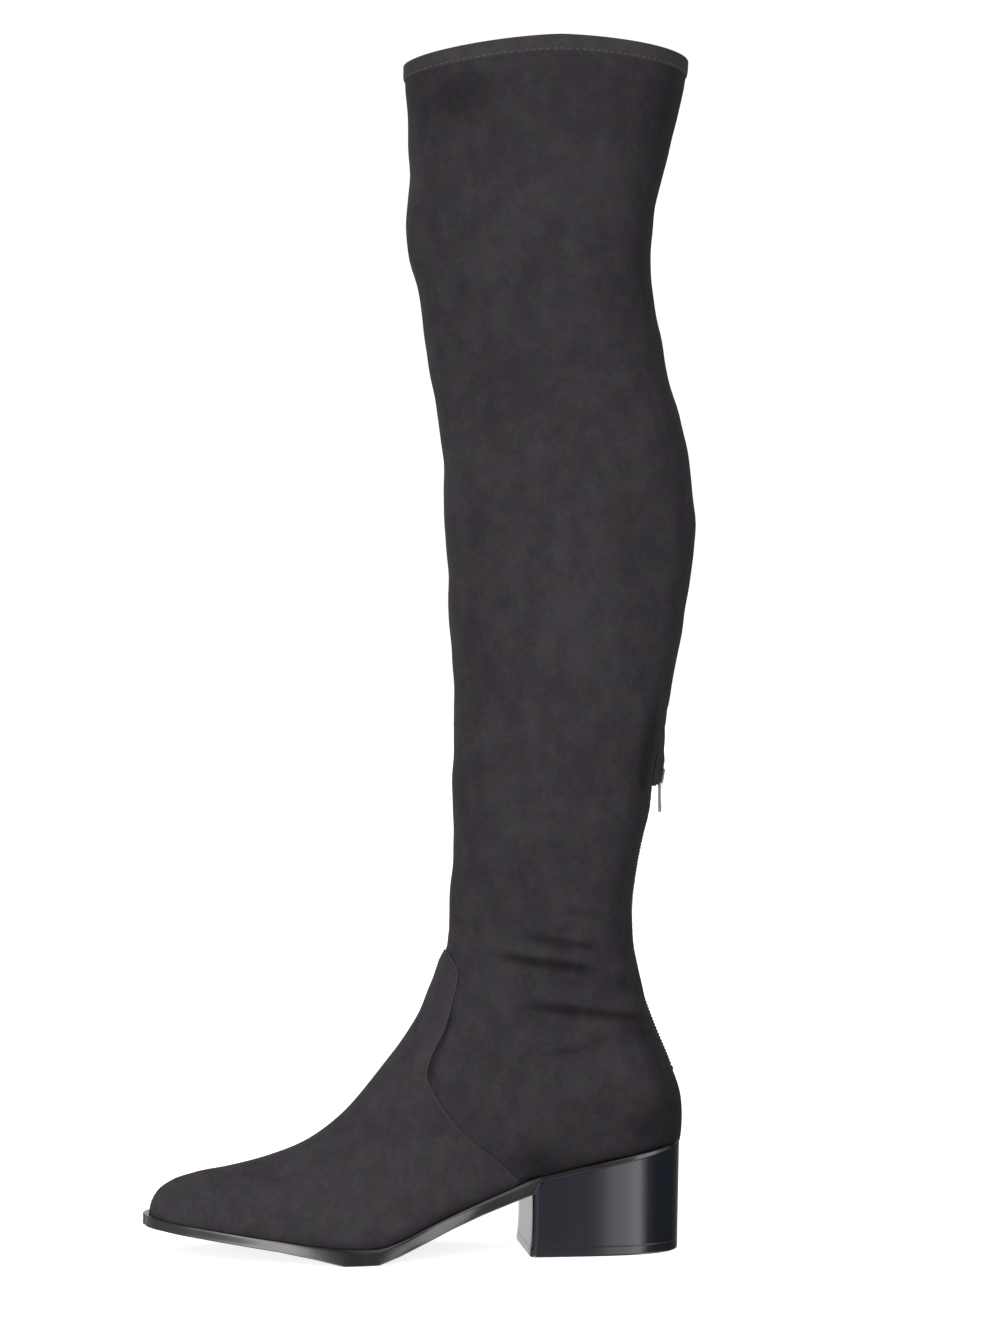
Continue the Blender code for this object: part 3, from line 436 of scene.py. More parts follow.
class BootColours(bpy.types.PropertyGroup):
    """Colours of the boot's finishes."""

    suede: colour("Suede", "Brushed black suede", (0.0375, 0.0320, 0.0385))
    suede_worn: colour("Brushed suede", "Suede where its nap lies the other way", (0.053, 0.0480, 0.0540))
    vamp: colour("Vamp", "Suede of the vamp, a little paler", (0.0420, 0.0359, 0.0431))
    vamp_worn: colour("Brushed vamp", "Vamp where its nap lies the other way", (0.0596, 0.0540, 0.0607))
    # the hem is paler than the suede partly by its own tone and partly as painted light falling from above
    # on the turned rim
    band: colour("Collar band", "Suede of the turned hem", (0.0540, 0.0490, 0.0515))
    band_worn: colour("Brushed band", "Hem where its nap lies the other way", (0.0760, 0.0730, 0.0720))
    suede_edge: colour("Cut edge", "Raw edge of the suede", (0.068, 0.062, 0.063))
    lining: colour("Lining", "Knitted lining of the shaft", (0.030, 0.028, 0.029))
    thread: colour("Thread", "Sewing thread", (0.082, 0.076, 0.080))
    sole: colour("Sole", "Painted edge of the sole", (0.010, 0.010, 0.011))
    tread: colour("Tread", "Underside of the sole", (0.020, 0.019, 0.019))
    heel: colour("Heel", "Lacquer of the heel", (0.0155, 0.0175, 0.0265))
    rubber: colour("Rubber", "Top piece of the heel", (0.0190, 0.0205, 0.0275))
    tape: colour("Zip tape", "Woven tape of the zip", (0.014, 0.013, 0.015))
    teeth: colour("Zip teeth", "Moulded teeth of the zip", (0.012, 0.012, 0.013))
    metal: colour("Metal", "Plated slider and pull", (0.50, 0.50, 0.49))
    floor: colour("Floor", "Floor under the boot", (0.86, 0.86, 0.86))


def sizes():
    """The sizes in millimetres, by name."""
    group = bpy.context.scene.boot_sizes
    return {name: getattr(group, name) / MM for name in BootSizes.__annotations__}


def colours():
    return bpy.context.scene.boot_colours


# ---------------------------------------------------------------- curves and tables


def smooth(knots, values, at):
    """A cubic through the values at the knots. Each slope leans to the nearer neighbour."""
    knots = np.asarray(knots, float)
    values = np.asarray(values, float)
    at = np.clip(np.asarray(at, float), knots[0], knots[-1])
    steps = np.diff(knots)
    secants = (np.diff(values, axis=0).T / steps).T
    slopes = np.empty_like(values)
    slopes[0] = secants[0]
    slopes[-1] = secants[-1]
    before = steps[:-1]
    after = steps[1:]
    slopes[1:-1] = ((secants[:-1].T * after + secants[1:].T * before) / (before + after)).T
    i = np.clip(np.searchsorted(knots, at, side="right") - 1, 0, len(steps) - 1)
    h = steps[i]
    t = (at - knots[i]) / h
    weights = np.array(
        [
            2 * t**3 - 3 * t**2 + 1,
            (t**3 - 2 * t**2 + t) * h,
            3 * t**2 - 2 * t**3,
            (t**3 - t**2) * h,
        ]
    )
    parts = np.array([values[i], slopes[i], values[i + 1], slopes[i + 1]])
    return np.einsum("k...,k...j->...j", weights, parts.reshape(parts.shape[:1] + at.shape + (-1,)))


def column(rows, key, value, at):
    """One column of a table as a smooth function of another."""
    return smooth([getattr(r, key) for r in rows], [getattr(r, value) for r in rows], at)[..., 0]


def ease(t):
    """From 0 to 1 with level ends."""
    t = np.clip(t, 0.0, 1.0)
    return t * t * (3 - 2 * t)


def between(value, low, high, rise, fall):
    """From 0 at low up to 1 over rise, and down again over fall to 0 at high."""
    return ease((value - low) / rise) * ease((high - value) / fall)


def bell(offset, width):
    """1 where the offset is 0, dying out to both sides over about that width."""
    return np.exp(-((offset / width) ** 2))


def sole_top(y):
    return column(SOLE, "y", "top", y)


def sole_bottom(y):
    """The underside is straight from station to station, which keeps the tread flat."""
    return np.interp(y, [s.y for s in SOLE], [s.bottom for s in SOLE])


def back_of_upper(z):
    """How far back the upper reaches at each height, from the heel to the collar."""
    rows = [s for s in SECTIONS if s.back_z > HEEL_SEAT_Z]
    return smooth([s.back_z for s in rows], [s.back_y for s in rows], z)[..., 0]


def vamp_edge(z):
    """Where the vamp ends at each height."""
    rows = VAMP_EDGE[::-1]
    return column(rows, "z", "y", z)


# ---------------------------------------------------------------- the form of the upper


def rings_of_sections(step, fine_step):
    """The table's rows with rings between them, closer together round the ankle."""
    rows = np.array(SECTIONS, float)
    reach = np.hypot(np.diff(rows[:, 0]), np.diff(rows[:, 1]))
    reach += np.hypot(np.diff(rows[:, 2]), np.diff(rows[:, 3]))
    knots = np.concatenate([[0.0], np.cumsum(reach)])
    stops = []
    for i, section in enumerate(SECTIONS[:-1]):
        at_ankle = ANKLE_LOW < section.front_z < ANKLE_HIGH
        count = math.ceil(reach[i] / (fine_step if at_ankle else step))
        stops.extend(np.linspace(knots[i], knots[i + 1], count + 1)[:-1])
    stops.append(knots[-1])
    return smooth(knots, rows, np.array(stops))


def soft_least(a, b):
    """The smaller of two widths, rounded where they cross."""
    return 0.5 * (a + b - np.sqrt((a - b) ** 2 + HEEL_CUP_SOFTNESS**2))


def section_grid(rings, around):
    """Points of all sections, from each one's back over the outer side to its front and round."""
    front_y, front_z, back_y, back_z, back_half, front_half, back_power, front_power, shift = (
        rings.T[..., None]
    )
    turn = 2 * math.pi * np.arange(around + 1) / around
    v = np.broadcast_to((1 - np.cos(turn)) / 2, (len(rings), around + 1))
    power = np.where(v < 0.5, back_power, front_power)
    envelope = np.clip(1 - np.abs(2 * v - 1) ** power, 0, 1) ** (1 / power)
    width = envelope * (back_half + (front_half - back_half) * v)
    y = back_y + (front_y - back_y) * v
    z = back_z + (front_z - back_z) * v
    behind = np.maximum(back_of_upper(z) - y, 0.0)
    rounded = soft_least(width, np.sqrt(2 * HEEL_BACK_RADIUS * behind) + HEEL_BACK_FLAT)
    rounded = np.where(envelope > 0, np.clip(rounded, 0, width), width)
    low = ease((HEEL_CUP_TOP - z) / HEEL_CUP_FADE) * ease((HEEL_CUP_DEPTH - behind) / HEEL_CUP_FADE)
    width = width + (rounded - width) * low
    x = shift + np.where(turn <= math.pi, 1.0, -1.0) * width
    near_collar = np.clip((z - COLLAR_START) / (SECTIONS[-1].back_z - COLLAR_START), 0, 1)
    dip = np.where(v > 0.5, COLLAR_DIP_FRONT, COLLAR_DIP_BACK)
    z = z - dip * near_collar * np.abs(2 * v - 1) ** COLLAR_DIP_POWER
    return np.stack([x, y, z], axis=-1)


def outward_of(points):
    """Unit vectors square to a tube of points whose first and last columns meet."""
    wrapped = np.concatenate([points[:, -2:-1], points, points[:, 1:2]], axis=1)
    around = wrapped[:, 2:] - wrapped[:, :-2]
    along = np.gradient(points, axis=0)
    normal = np.cross(along, around)
    size = np.linalg.norm(normal, axis=-1, keepdims=True)
    return normal / np.maximum(size, TINY)


def along_creases(points):
    """Each crease, how strongly it holds every point, and how far the point lies above its line."""
    x, y, z = np.moveaxis(points, -1, 0)
    for c in CREASES:
        run = np.hypot(c.y1 - c.y0, c.z1 - c.z0)
        ty, tz = (c.y1 - c.y0) / run, (c.z1 - c.z0) / run
        along = (y - c.y0) * ty + (z - c.z0) * tz
        middle = np.clip(along / run, 0, 1)
        over = (z - c.z0) * ty - (y - c.y0) * tz - c.bow * 4 * middle * (1 - middle)
        on_side = ease(c.side * x / CREASE_SIDE - CREASE_START)
        yield c, between(along, 0.0, run, c.fade, c.fade) * on_side, over


def near_part(crease, over, part):
    """From 0 to 1, how close a point that far over a crease's line is to one part of its section."""
    place, wide = part
    return bell(over - place * crease.width, wide * crease.width)


def behind_vamp(points):
    """How far behind the vamp's free edge each point lies."""
    return points[..., 1] - vamp_edge(np.clip(points[..., 2], VAMP_EDGE[-1].z, VAMP_EDGE[0].z))


def tucked(points):
    """From 0 to 1, how far the skin is drawn in close behind the vamp's free edge, and how much shadow is
    painted there.
    """
    z = points[..., 2]
    share = ease((z - TUCK_LOW) / (TUCK_HIGH - TUCK_LOW))
    width = TUCK_WIDE + (TUCK_NARROW - TUCK_WIDE) * share
    held = between(z, TUCK_LOW, TUCK_HIGH, TUCK_FADE, TUCK_FADE)
    return held * bell(behind_vamp(points) / width - TUCK_MIDDLE, 1.0)


def beside_flap(points):
    """From 0 to 1, how close the skin lies to the long sides of the zip's flap, where it is drawn in and
    shade is painted.
    """
    y, z = points[..., 1], points[..., 2]
    held = between(z, *HOLLOW_RUN)
    return held * bell(back_of_upper(z) - y - HOLLOW_IN, HOLLOW_WIDE)


def creased(points):
    """How far the skin stands out, or sinks in, at each point: creases, waves and the back seam."""
    x, y, z = np.moveaxis(points, -1, 0)
    out = -TUCK_DEPTH * tucked(points) - FLAP_HOLLOW * beside_flap(points)
    for c, held, over in along_creases(points):
        trough = -c.depth * bell(over, c.width)
        above = c.ridge * near_part(c, over, RIDGE)
        below = SWELL_SHARE * c.ridge * near_part(c, over, SWELL)
        out = out + held * (trough + above + below)
    turn = np.arctan2(x, y - WAVES_AXIS)
    leg = between(z, *WAVES_RUN)
    for w in WAVES:
        out = out + leg * w.height * np.sin(2 * math.pi * z / w.length + w.turns * turn + w.phase)
    behind = back_of_upper(z) - y
    for strip in (GROOVE, PUCKER):
        out = out + strip.height * bell(x, strip.wide) * (behind < strip.reach) * (z > SEAM_LOW)
    return out


def nap_shade(points):
    """How much shade is painted at each point, above 0, and how much highlight, below 0."""
    shade = np.zeros(points.shape[:-1])
    # nap here is the painted shade in each crease's trough less the painted highlight on its ridge
    for c, held, over in along_creases(points):
        nap = near_part(c, over, TROUGH_PAINTED_SHADE) - RIDGE_HIGHLIGHT_SHARE * near_part(c, over, RIDGE_PAINTED_HIGHLIGHT)
        shade = shade + held * c.shade * nap
    y, z = points[..., 1], points[..., 2]
    # painted shade in the hollow beside the zip's flap
    shade = shade + FLAP_PAINTED_SHADE * beside_flap(points)
    # painted shade and darker tone of the broad patches
    for patch in PATCHES:
        off = ((y - patch.y) / patch.wide) ** 2 + ((z - patch.z) / patch.high) ** 2
        shade = shade + patch.shade * np.exp(-off)
    # painted shade along the back of the leg
    behind = back_of_upper(z) - y
    shade = shade + BACK_PAINTED_SHADE * ease((BACK_SHADE_FROM - behind) / (BACK_SHADE_FROM - BACK_SHADE_FULL))
    # painted shade round the back of the heel
    counter = ease((COUNTER_TOP - z) / COUNTER_FADE) * ease((y - COUNTER_FRONT) / COUNTER_REACH)
    return shade + COUNTER_PAINTED_SHADE * counter


def boot_skin(outward, step=None, fine_step=None, around=AROUND):
    """The creased skin of the upper moved outward by that many millimetres, as a tube of points."""
    size = sizes()
    rings = rings_of_sections(step or size["ring_step"], fine_step or size["fine_step"])
    points = section_grid(rings, around)
    normal = outward_of(points)
    lift = outward + creased(points)
    level = ease((points[..., 2] - RIM_FROM) / RIM_OVER)[..., None]
    flat = normal * np.array([1.0, 1.0, 0.0])
    flat = flat / np.maximum(np.linalg.norm(flat, axis=-1, keepdims=True), TINY)
    return points + (normal * (1 - level) + flat * level) * lift[..., None]


# ---------------------------------------------------------------- meshes


def laid(points):
    """A grid of faces laid on rows of points, joined where the first and last columns meet."""
    rows, columns = points.shape[:2]
    mesh = bmesh.new()
    bmesh.ops.create_grid(mesh, x_segments=columns - 1, y_segments=rows - 1, size=1.0)
    mesh.verts.ensure_lookup_table()
    for vert, place in zip(mesh.verts, points.reshape(-1, 3) * MM):
        vert.co = place
    bmesh.ops.remove_doubles(mesh, verts=mesh.verts, dist=1e-7)
    return mesh


def face_out(mesh, centre=None):
    """Turns the faces of a sleeve or shell to point away from its middle."""
    bmesh.ops.recalc_face_normals(mesh, faces=mesh.faces)
    mesh.normal_update()
    middle = centre or sum((f.calc_center_median() for f in mesh.faces), Vector()) / len(mesh.faces)
    balance = sum((f.calc_center_median() - middle).dot(f.normal) * f.calc_area() for f in mesh.faces)
    if balance < 0:
        bmesh.ops.reverse_faces(mesh, faces=mesh.faces)


def close_holes(mesh):
    """Closes every open end of the mesh."""
    bmesh.ops.holes_fill(mesh, edges=[e for e in mesh.edges if e.is_boundary], sides=0)


def split(mesh, point, normal, parts=None, merge=1e-7, **clear):
    """Splits the mesh, or those parts of it, along a plane through a point in millimetres."""
    return bmesh.ops.bisect_plane(
        mesh, geom=parts or [*mesh.verts, *mesh.edges, *mesh.faces], dist=merge,
        plane_co=Vector(point) * MM, plane_no=Vector(normal), **clear,
    )


def cut(mesh, point, normal, fill=False):
    """Cuts away what is on the normal's side of a plane through a point in millimetres."""
    done = split(mesh, point, normal, clear_outer=True)
    if fill:
        edges = [e for e in done["geom_cut"] if isinstance(e, bmesh.types.BMEdge)]
        bmesh.ops.holes_fill(mesh, edges=edges, sides=0)


def shear(mesh, axis, amount):
    """Moves every point along one axis by amount(point), in millimetres."""
    places = np.array([v.co for v in mesh.verts]) / MM
    shift = amount(places) * MM
    for vert, step in zip(mesh.verts, shift):
        vert.co[axis] += step


def cut_along(mesh, axis, line, normal):
    """Cuts a mesh where one coordinate equals line(points): straightened, cut flat, and bent back."""
    shear(mesh, axis, lambda p: -line(p))
    cut(mesh, (0, 0, 0), normal)
    shear(mesh, axis, line)


def rest_on_sole(mesh):
    """Cuts away what is below the top of the sole and a small gap."""
    cut_along(mesh, 2, lambda p: sole_top(p[:, 1]) + SEAT_GAP, (0, 0, -1))


def linked(name, data):
    """A new object in the scene."""
    obj = bpy.data.objects.new(name, data)
    bpy.context.scene.collection.objects.link(obj)
    return obj


def piece(name, mesh, materials, body="boot", replaces=(), smooth_angle=45):
    """Turns a bmesh into a finished object that rides on a body of the frame."""
    data = bpy.data.meshes.new(name)
    mesh.to_mesh(data)
    mesh.free()
    obj = linked(name, data)
    for item in materials:
        data.materials.append(item)
    data.shade_smooth()
    data.set_sharp_from_angle(angle=math.radians(smooth_angle))
    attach(obj, body)
    if replaces:
        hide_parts(*replaces)
    return obj


def paint_shading(obj, tuck_painted_shadow):
    """Writes the painted shade and highlight at each vertex, with the painted shadow behind the vamp, as an
    attribute the suede reads.
    """
    data = obj.data
    places = np.empty(3 * len(data.vertices))
    data.vertices.foreach_get("co", places)
    places = places.reshape(-1, 3) / MM
    # the painted shade and highlight, with the painted shadow behind the vamp's edge
    shade = nap_shade(places) + tuck_painted_shadow * tucked(places)
    data.attributes.new(PAINTED_SHADING_ATTRIBUTE, "FLOAT", "POINT").data.foreach_set("value", shade.astype(np.float32))


def walled(obj, thickness, inner=0, rim=0):
    """Gives an open surface a wall on its inner side."""
    wall = obj.modifiers.new("wall", "SOLIDIFY")
    wall.thickness = thickness * MM
    wall.offset = -1.0
    wall.use_even_offset = True
    wall.material_offset = inner
    wall.material_offset_rim = rim
    return wall


def rounded(obj, width, segments=2, angle=50):
    """Rounds the sharp edges of a finished piece."""
    edge = obj.modifiers.new("rounded", "BEVEL")
    edge.width = width * MM
    edge.segments = segments
    edge.limit_method = "ANGLE"
    edge.angle_limit = math.radians(angle)
    edge.harden_normals = False


def stitches(path, sides, size):
    """Rounded stitches laid end to end along a closed or open path of points, as one mesh."""
    mesh = bmesh.new()
    path, sides = np.asarray(path, float), np.asarray(sides, float)
    run = np.concatenate([[0.0], np.cumsum(np.linalg.norm(np.diff(path, axis=0), axis=1))])
    count = int(run[-1] / size["stitch_pitch"])
    poles = Matrix.Rotation(math.pi / 2, 4, "Y")

    def at(line, distance):
        """The point of a line that goes with that distance along the path."""
        return np.array([np.interp(distance, run, line[:, k]) for k in range(3)])

    for i in range(count):
        start = (i + 0.5) * run[-1] / count - size["stitch"] / 2
        first, last = at(path, start), at(path, start + size["stitch"])
        out = at(sides, start + size["stitch"] / 2)
        middle = Vector((first + last) / 2 - out * STITCH_SUNK * size["thread"])
        along, up = Vector(last - first).normalized(), Vector(out).normalized()
        across = along.cross(up).normalized()
        turn = Matrix((along, across, up)).transposed().to_4x4()
        long, thick = size["stitch"] / 2 * MM, size["thread"] / 2 * MM
        place = Matrix.Translation(middle * MM) @ turn @ Matrix.Diagonal((long, thick, thick, 1.0))
        bmesh.ops.create_uvsphere(mesh, u_segments=8, v_segments=6, radius=1.0, matrix=place @ poles)
    return mesh


# ---------------------------------------------------------------- finishes


def node(tree, kind, inputs=(), **settings):
    """A shader node of that kind, with its settings made and its inputs fed."""
    made = tree.nodes.new("ShaderNode" + kind)
    for key, value in settings.items():
        setattr(made, key, value)
    feed(tree, made, inputs)
    return made


def feed(tree, made, inputs):
    """Joins each input of a node to a socket, or gives it a value."""
    for key, value in dict(inputs).items():
        if isinstance(value, bpy.types.NodeSocket):
            tree.links.new(value, made.inputs[key])
        else:
            made.inputs[key].default_value = value


def maths(tree, operation, *values):
    """The result of a sum on sockets and plain values."""
    return node(tree, "Math", enumerate(values), operation=operation).outputs[0]


def object_place(tree):
    return node(tree, "TexCoord").outputs["Object"]


def times(rgba, factor):
    """A colour made darker or brighter, up to white."""
    return tuple(min(1.0, factor * c) for c in rgba[:3]) + (1.0,)


def noise(tree, source, scale, detail=2.0, roughness=0.5, stretch=None, output="Fac"):
    """A noise of that many waves to the metre, on the source's coordinates."""
    if stretch:
        source = node(tree, "Mapping", {"Vector": source, "Scale": stretch}).outputs["Vector"]
    inputs = {"Vector": source, "Scale": scale, "Detail": detail, "Roughness": roughness}
    return node(tree, "TexNoise", inputs).outputs[output]


def ranged(tree, source, low, high, to_low=0.0, to_high=1.0, kind="SMOOTHSTEP"):
    """The source's values from low to high, turned into values from to_low to to_high."""
    inputs = {"Value": source, "From Min": low, "From Max": high, "To Min": to_low, "To Max": to_high}
    return node(tree, "MapRange", inputs, interpolation_type=kind).outputs["Result"]


def blended(tree, factor, a, b, mode="MIX"):
    """Colour a turned into colour b by the factor. Each may be a socket or a plain value."""
    return node(tree, "Mix", {0: factor, 6: a, 7: b}, data_type="RGBA", blend_type=mode).outputs[2]


def summed(tree, *terms):
    """The sum of (socket, weight) terms."""
    total = 0.0
    for socket, weight in terms:
        total = maths(tree, "MULTIPLY_ADD", socket, weight, total)
    return total


def group_shell(name, inputs, outputs):
    """An empty node group with named sockets, and its two ends."""
    tree = bpy.data.node_groups.new(name, "ShaderNodeTree")
    for label, kind, value in inputs:
        made = tree.interface.new_socket(name=label, in_out="INPUT", socket_type=kind)
        made.default_value = value
    for label, kind in outputs:
        tree.interface.new_socket(name=label, in_out="OUTPUT", socket_type=kind)
    return tree, tree.nodes.new("NodeGroupInput"), tree.nodes.new("NodeGroupOutput")


FLOAT = "NodeSocketFloat"
COLOUR = "NodeSocketColor"


def nap_with_painted_shading():
    """Suede's nap: patches brushed either way, a faint change of tint, and its short fibres; and the colour
    darkened where shade is painted and paled where highlight is painted.
    """
    name = "brushed nap"
    if name in bpy.data.node_groups:
        return bpy.data.node_groups[name]
    inputs = [
        ("Colour", COLOUR, (0.04, 0.04, 0.04, 1)), ("Brushed", COLOUR, (0.06, 0.06, 0.06, 1)),
        ("Patches", FLOAT, 0.5), ("Tint", FLOAT, 0.1), ("Pressed", FLOAT, 0.0),
    ]
    outputs = [("Colour", COLOUR), ("Roughness", FLOAT), ("Height", FLOAT)]
    tree, start, end = group_shell(name, inputs, outputs)
    place = object_place(tree)
    broad = noise(tree, place, 24.0, 3.0, 0.6)
    blotches = noise(tree, place, 110.0, 3.0, 0.6)
    strokes = noise(tree, place, 90.0, 3.0, 0.6, (1.0, 1.0, 0.45))
    fibres = noise(tree, place, 1500.0, 2.0, 0.6, (1.0, 1.0, 0.55))
    grain = noise(tree, place, 420.0, 3.0, 0.65)
    tint = noise(tree, place, 95.0, 3.0, 0.6, output="Color")
    patches = summed(tree, (broad, 0.34), (blotches, 0.28), (strokes, 0.20), (grain, 0.18))
    amount = maths(tree, "MULTIPLY", ranged(tree, patches, 0.40, 0.61), start.outputs["Patches"])
    base = blended(tree, amount, start.outputs["Colour"], start.outputs["Brushed"])
    tinted = blended(tree, start.outputs["Tint"], base, tint, "SOFT_LIGHT")
    # painted shade darkens the colour, painted highlight makes it paler
    darker = ranged(tree, start.outputs["Pressed"], 0.0, 1.0, 1.0, 0.42)
    lighter = ranged(tree, start.outputs["Pressed"], -0.4, 0.0, 1.22, 1.0)
    painted_factor = maths(tree, "MULTIPLY", darker, lighter)
    toned = node(tree, "VectorMath", {0: tinted, "Scale": painted_factor}, operation="SCALE")
    roughness = ranged(tree, grain, 0.3, 0.7, 0.98, 0.84)
    height = summed(tree, (fibres, 0.35), (grain, 0.45), (strokes, 0.9))
    feed(tree, end, {"Colour": toned.outputs[0], "Roughness": roughness, "Height": height})
    return tree


def surface_wear():
    """Faint smears on a smooth surface, as a mask, and its slight waves, as a height."""
    name = "surface wear"
    if name in bpy.data.node_groups:
        return bpy.data.node_groups[name]
    tree, start, end = group_shell(name, [("Scale", FLOAT, 1.0)], [("Smears", FLOAT), ("Height", FLOAT)])
    scaling = {0: object_place(tree), "Scale": start.outputs["Scale"]}
    place = node(tree, "VectorMath", scaling, operation="SCALE").outputs[0]
    smears = noise(tree, place, 45.0, 4.0, 0.6, (1.0, 0.4, 1.0))
    feed(tree, end, {"Smears": ranged(tree, smears, 0.42, 0.7), "Height": noise(tree, place, 60.0)})
    return tree


def bare(name, **constants):
    """A material with its shader's constants set, its tree and its shader."""
    made = bpy.data.materials.new(name)
    made.use_nodes = True
    shader = made.node_tree.nodes["Principled BSDF"]
    for key, value in constants.items():
        shader.inputs[key.replace("_", " ")].default_value = value
    return made, made.node_tree, shader


def bumped(tree, height, distance):
    """The normal of a surface with that relief. The distance is its full height in millimetres."""
    inputs = {"Strength": 1.0, "Distance": distance * MM, "Height": height}
    return node(tree, "Bump", inputs).outputs["Normal"]


def suede(name, base, brushed, patches=0.9, tint=0.24, relief=0.35):
    """Brushed suede: matt, with a soft sheen where it turns away, darker where its mesh carries painted
    shade and paler where it carries painted highlight.
    """
    if name in bpy.data.materials:
        return bpy.data.materials[name]
    made, tree, shader = bare(
        name, Specular_IOR_Level=0.15, Sheen_Weight=0.05, Sheen_Roughness=0.42,
        Sheen_Tint=(0.62, 0.62, 0.62, 1),
    )
    # the painted shade and highlight that the mesh carries
    painted_shading_fac = node(tree, "Attribute", attribute_name=PAINTED_SHADING_ATTRIBUTE).outputs["Fac"]
    nap = node(tree, "Group", node_tree=nap_with_painted_shading())
    lie = {"Patches": patches, "Tint": tint, "Pressed": painted_shading_fac}
    feed(tree, nap, {"Colour": base, "Brushed": brushed, **lie})
    feed(tree, shader, {
        "Base Color": nap.outputs["Colour"],
        "Roughness": nap.outputs["Roughness"],
        "Normal": bumped(tree, nap.outputs["Height"], relief),
    })
    return made


def polished(name, base, roughness, coat, smear_to, waviness, scale):
    """Smooth painted or lacquered stuff with faint smears."""
    if name in bpy.data.materials:
        return bpy.data.materials[name]
    made, tree, shader = bare(name, Base_Color=base, IOR=1.5, Coat_Roughness=0.05, Coat_Weight=coat)
    wear = node(tree, "Group", node_tree=surface_wear())
    wear.inputs["Scale"].default_value = scale
    spread = ranged(tree, wear.outputs["Smears"], 0.0, 1.0, roughness, smear_to)
    feed(tree, shader, {"Roughness": spread, "Normal": bumped(tree, wear.outputs["Height"], waviness)})
    return made


def woven(name, base, threads, relief, roughness=0.85):
    """Cloth of crossing threads, paler where they stand up. threads: how close they lie."""
    if name in bpy.data.materials:
        return bpy.data.materials[name]
    made, tree, shader = bare(name, Roughness=roughness, Specular_IOR_Level=0.2, Sheen_Weight=0.2)
    place = object_place(tree)
    bands = []
    for direction in ("X", "Z", "Y"):
        inputs = {"Vector": place, "Scale": threads, "Distortion": 0.6}
        bands.append((node(tree, "TexWave", inputs, bands_direction=direction).outputs["Fac"], 0.33))
    height = summed(tree, *bands)
    share = ranged(tree, summed(tree, (height, 0.6), (noise(tree, place, 300.0), 0.4)), 0.3, 0.75)
    colour_now = blended(tree, share, base, times(base, 1.9))
    feed(tree, shader, {"Base Color": colour_now, "Normal": bumped(tree, height, relief)})
    return made


def plated(name, base):
    """Plated metal with a fine brushing and small scuffs."""
    if name in bpy.data.materials:
        return bpy.data.materials[name]
    made, tree, shader = bare(name, Metallic=1.0)
    place = object_place(tree)
    brushing = noise(tree, place, 900.0, 3.0, 0.6, (1.0, 1.0, 0.08))
    scuffs = ranged(tree, noise(tree, place, 260.0, 4.0, 0.7), 0.5, 0.75)
    feed(tree, shader, {
        "Roughness": ranged(tree, brushing, 0.3, 0.7, 0.16, 0.34),
        "Base Color": blended(tree, scuffs, base, times(base, 0.72)),
        "Normal": bumped(tree, brushing, 0.01),
    })
    return made


def upper_suede():
    return suede("black brushed suede", colours().suede, colours().suede_worn)


def lining_knit():
    return woven("knitted lining", colours().lining, 420.0, 0.18)


def thread_twist():
    return woven("twisted thread", colours().thread, 900.0, 0.05, 0.6)


# ---------------------------------------------------------------- pieces


class BOOT_OT_upper(bpy.types.Operator):
    """The sleeve of the boot, with its creases, lined, cut off along the sole and slit for the zip"""

    bl_idname = "boot.make_upper"
    bl_label = "Upper"

    def execute(self, context):
        size = sizes()
        mesh = laid(boot_skin(0.0))
        rest_on_sole(mesh)
        low, high = size["zip_low"], size["slider"] + size["slider_length"] / 2 + 2 * size["gap"]
        half = size["slot_half"]
        planes = [((side, 0, 0), (1, 0, 0)) for side in (half, -half)]
        planes += [((0, 0, end), (0, 0, 1)) for end in (low, high)]
        for point, normal in planes:
            near = self.at_back(mesh, ZIP_NEAR, low - SLOT_ROOM, high + SLOT_ROOM)
            edges = dict.fromkeys(e for f in near for e in f.edges)
            verts = dict.fromkeys(v for f in near for v in f.verts)
            split(mesh, point, normal, [*near, *edges, *verts], merge=1e-6)
        bmesh.ops.delete(mesh, geom=self.at_back(mesh, half, low, high), context="FACES")
        face_out(mesh, Vector((0, 0.05, 0.3)))
        obj = piece("upper_sleeve", mesh, [upper_suede(), lining_knit()], replaces=("upper",))
        paint_shading(obj, TUCK_PAINTED_SHADOW)
        walled(obj, size["wall"], inner=1, rim=1)
        return {"FINISHED"}

    def at_back(self, mesh, half, low, high):
        """The faces at the back within that half width and between those heights."""
        found = []
        for face in mesh.faces:
            x, y, z = face.calc_center_median() / MM
            if abs(x) < half and y > ZIP_BEHIND and low < z < high:
                found.append(face)
        return found


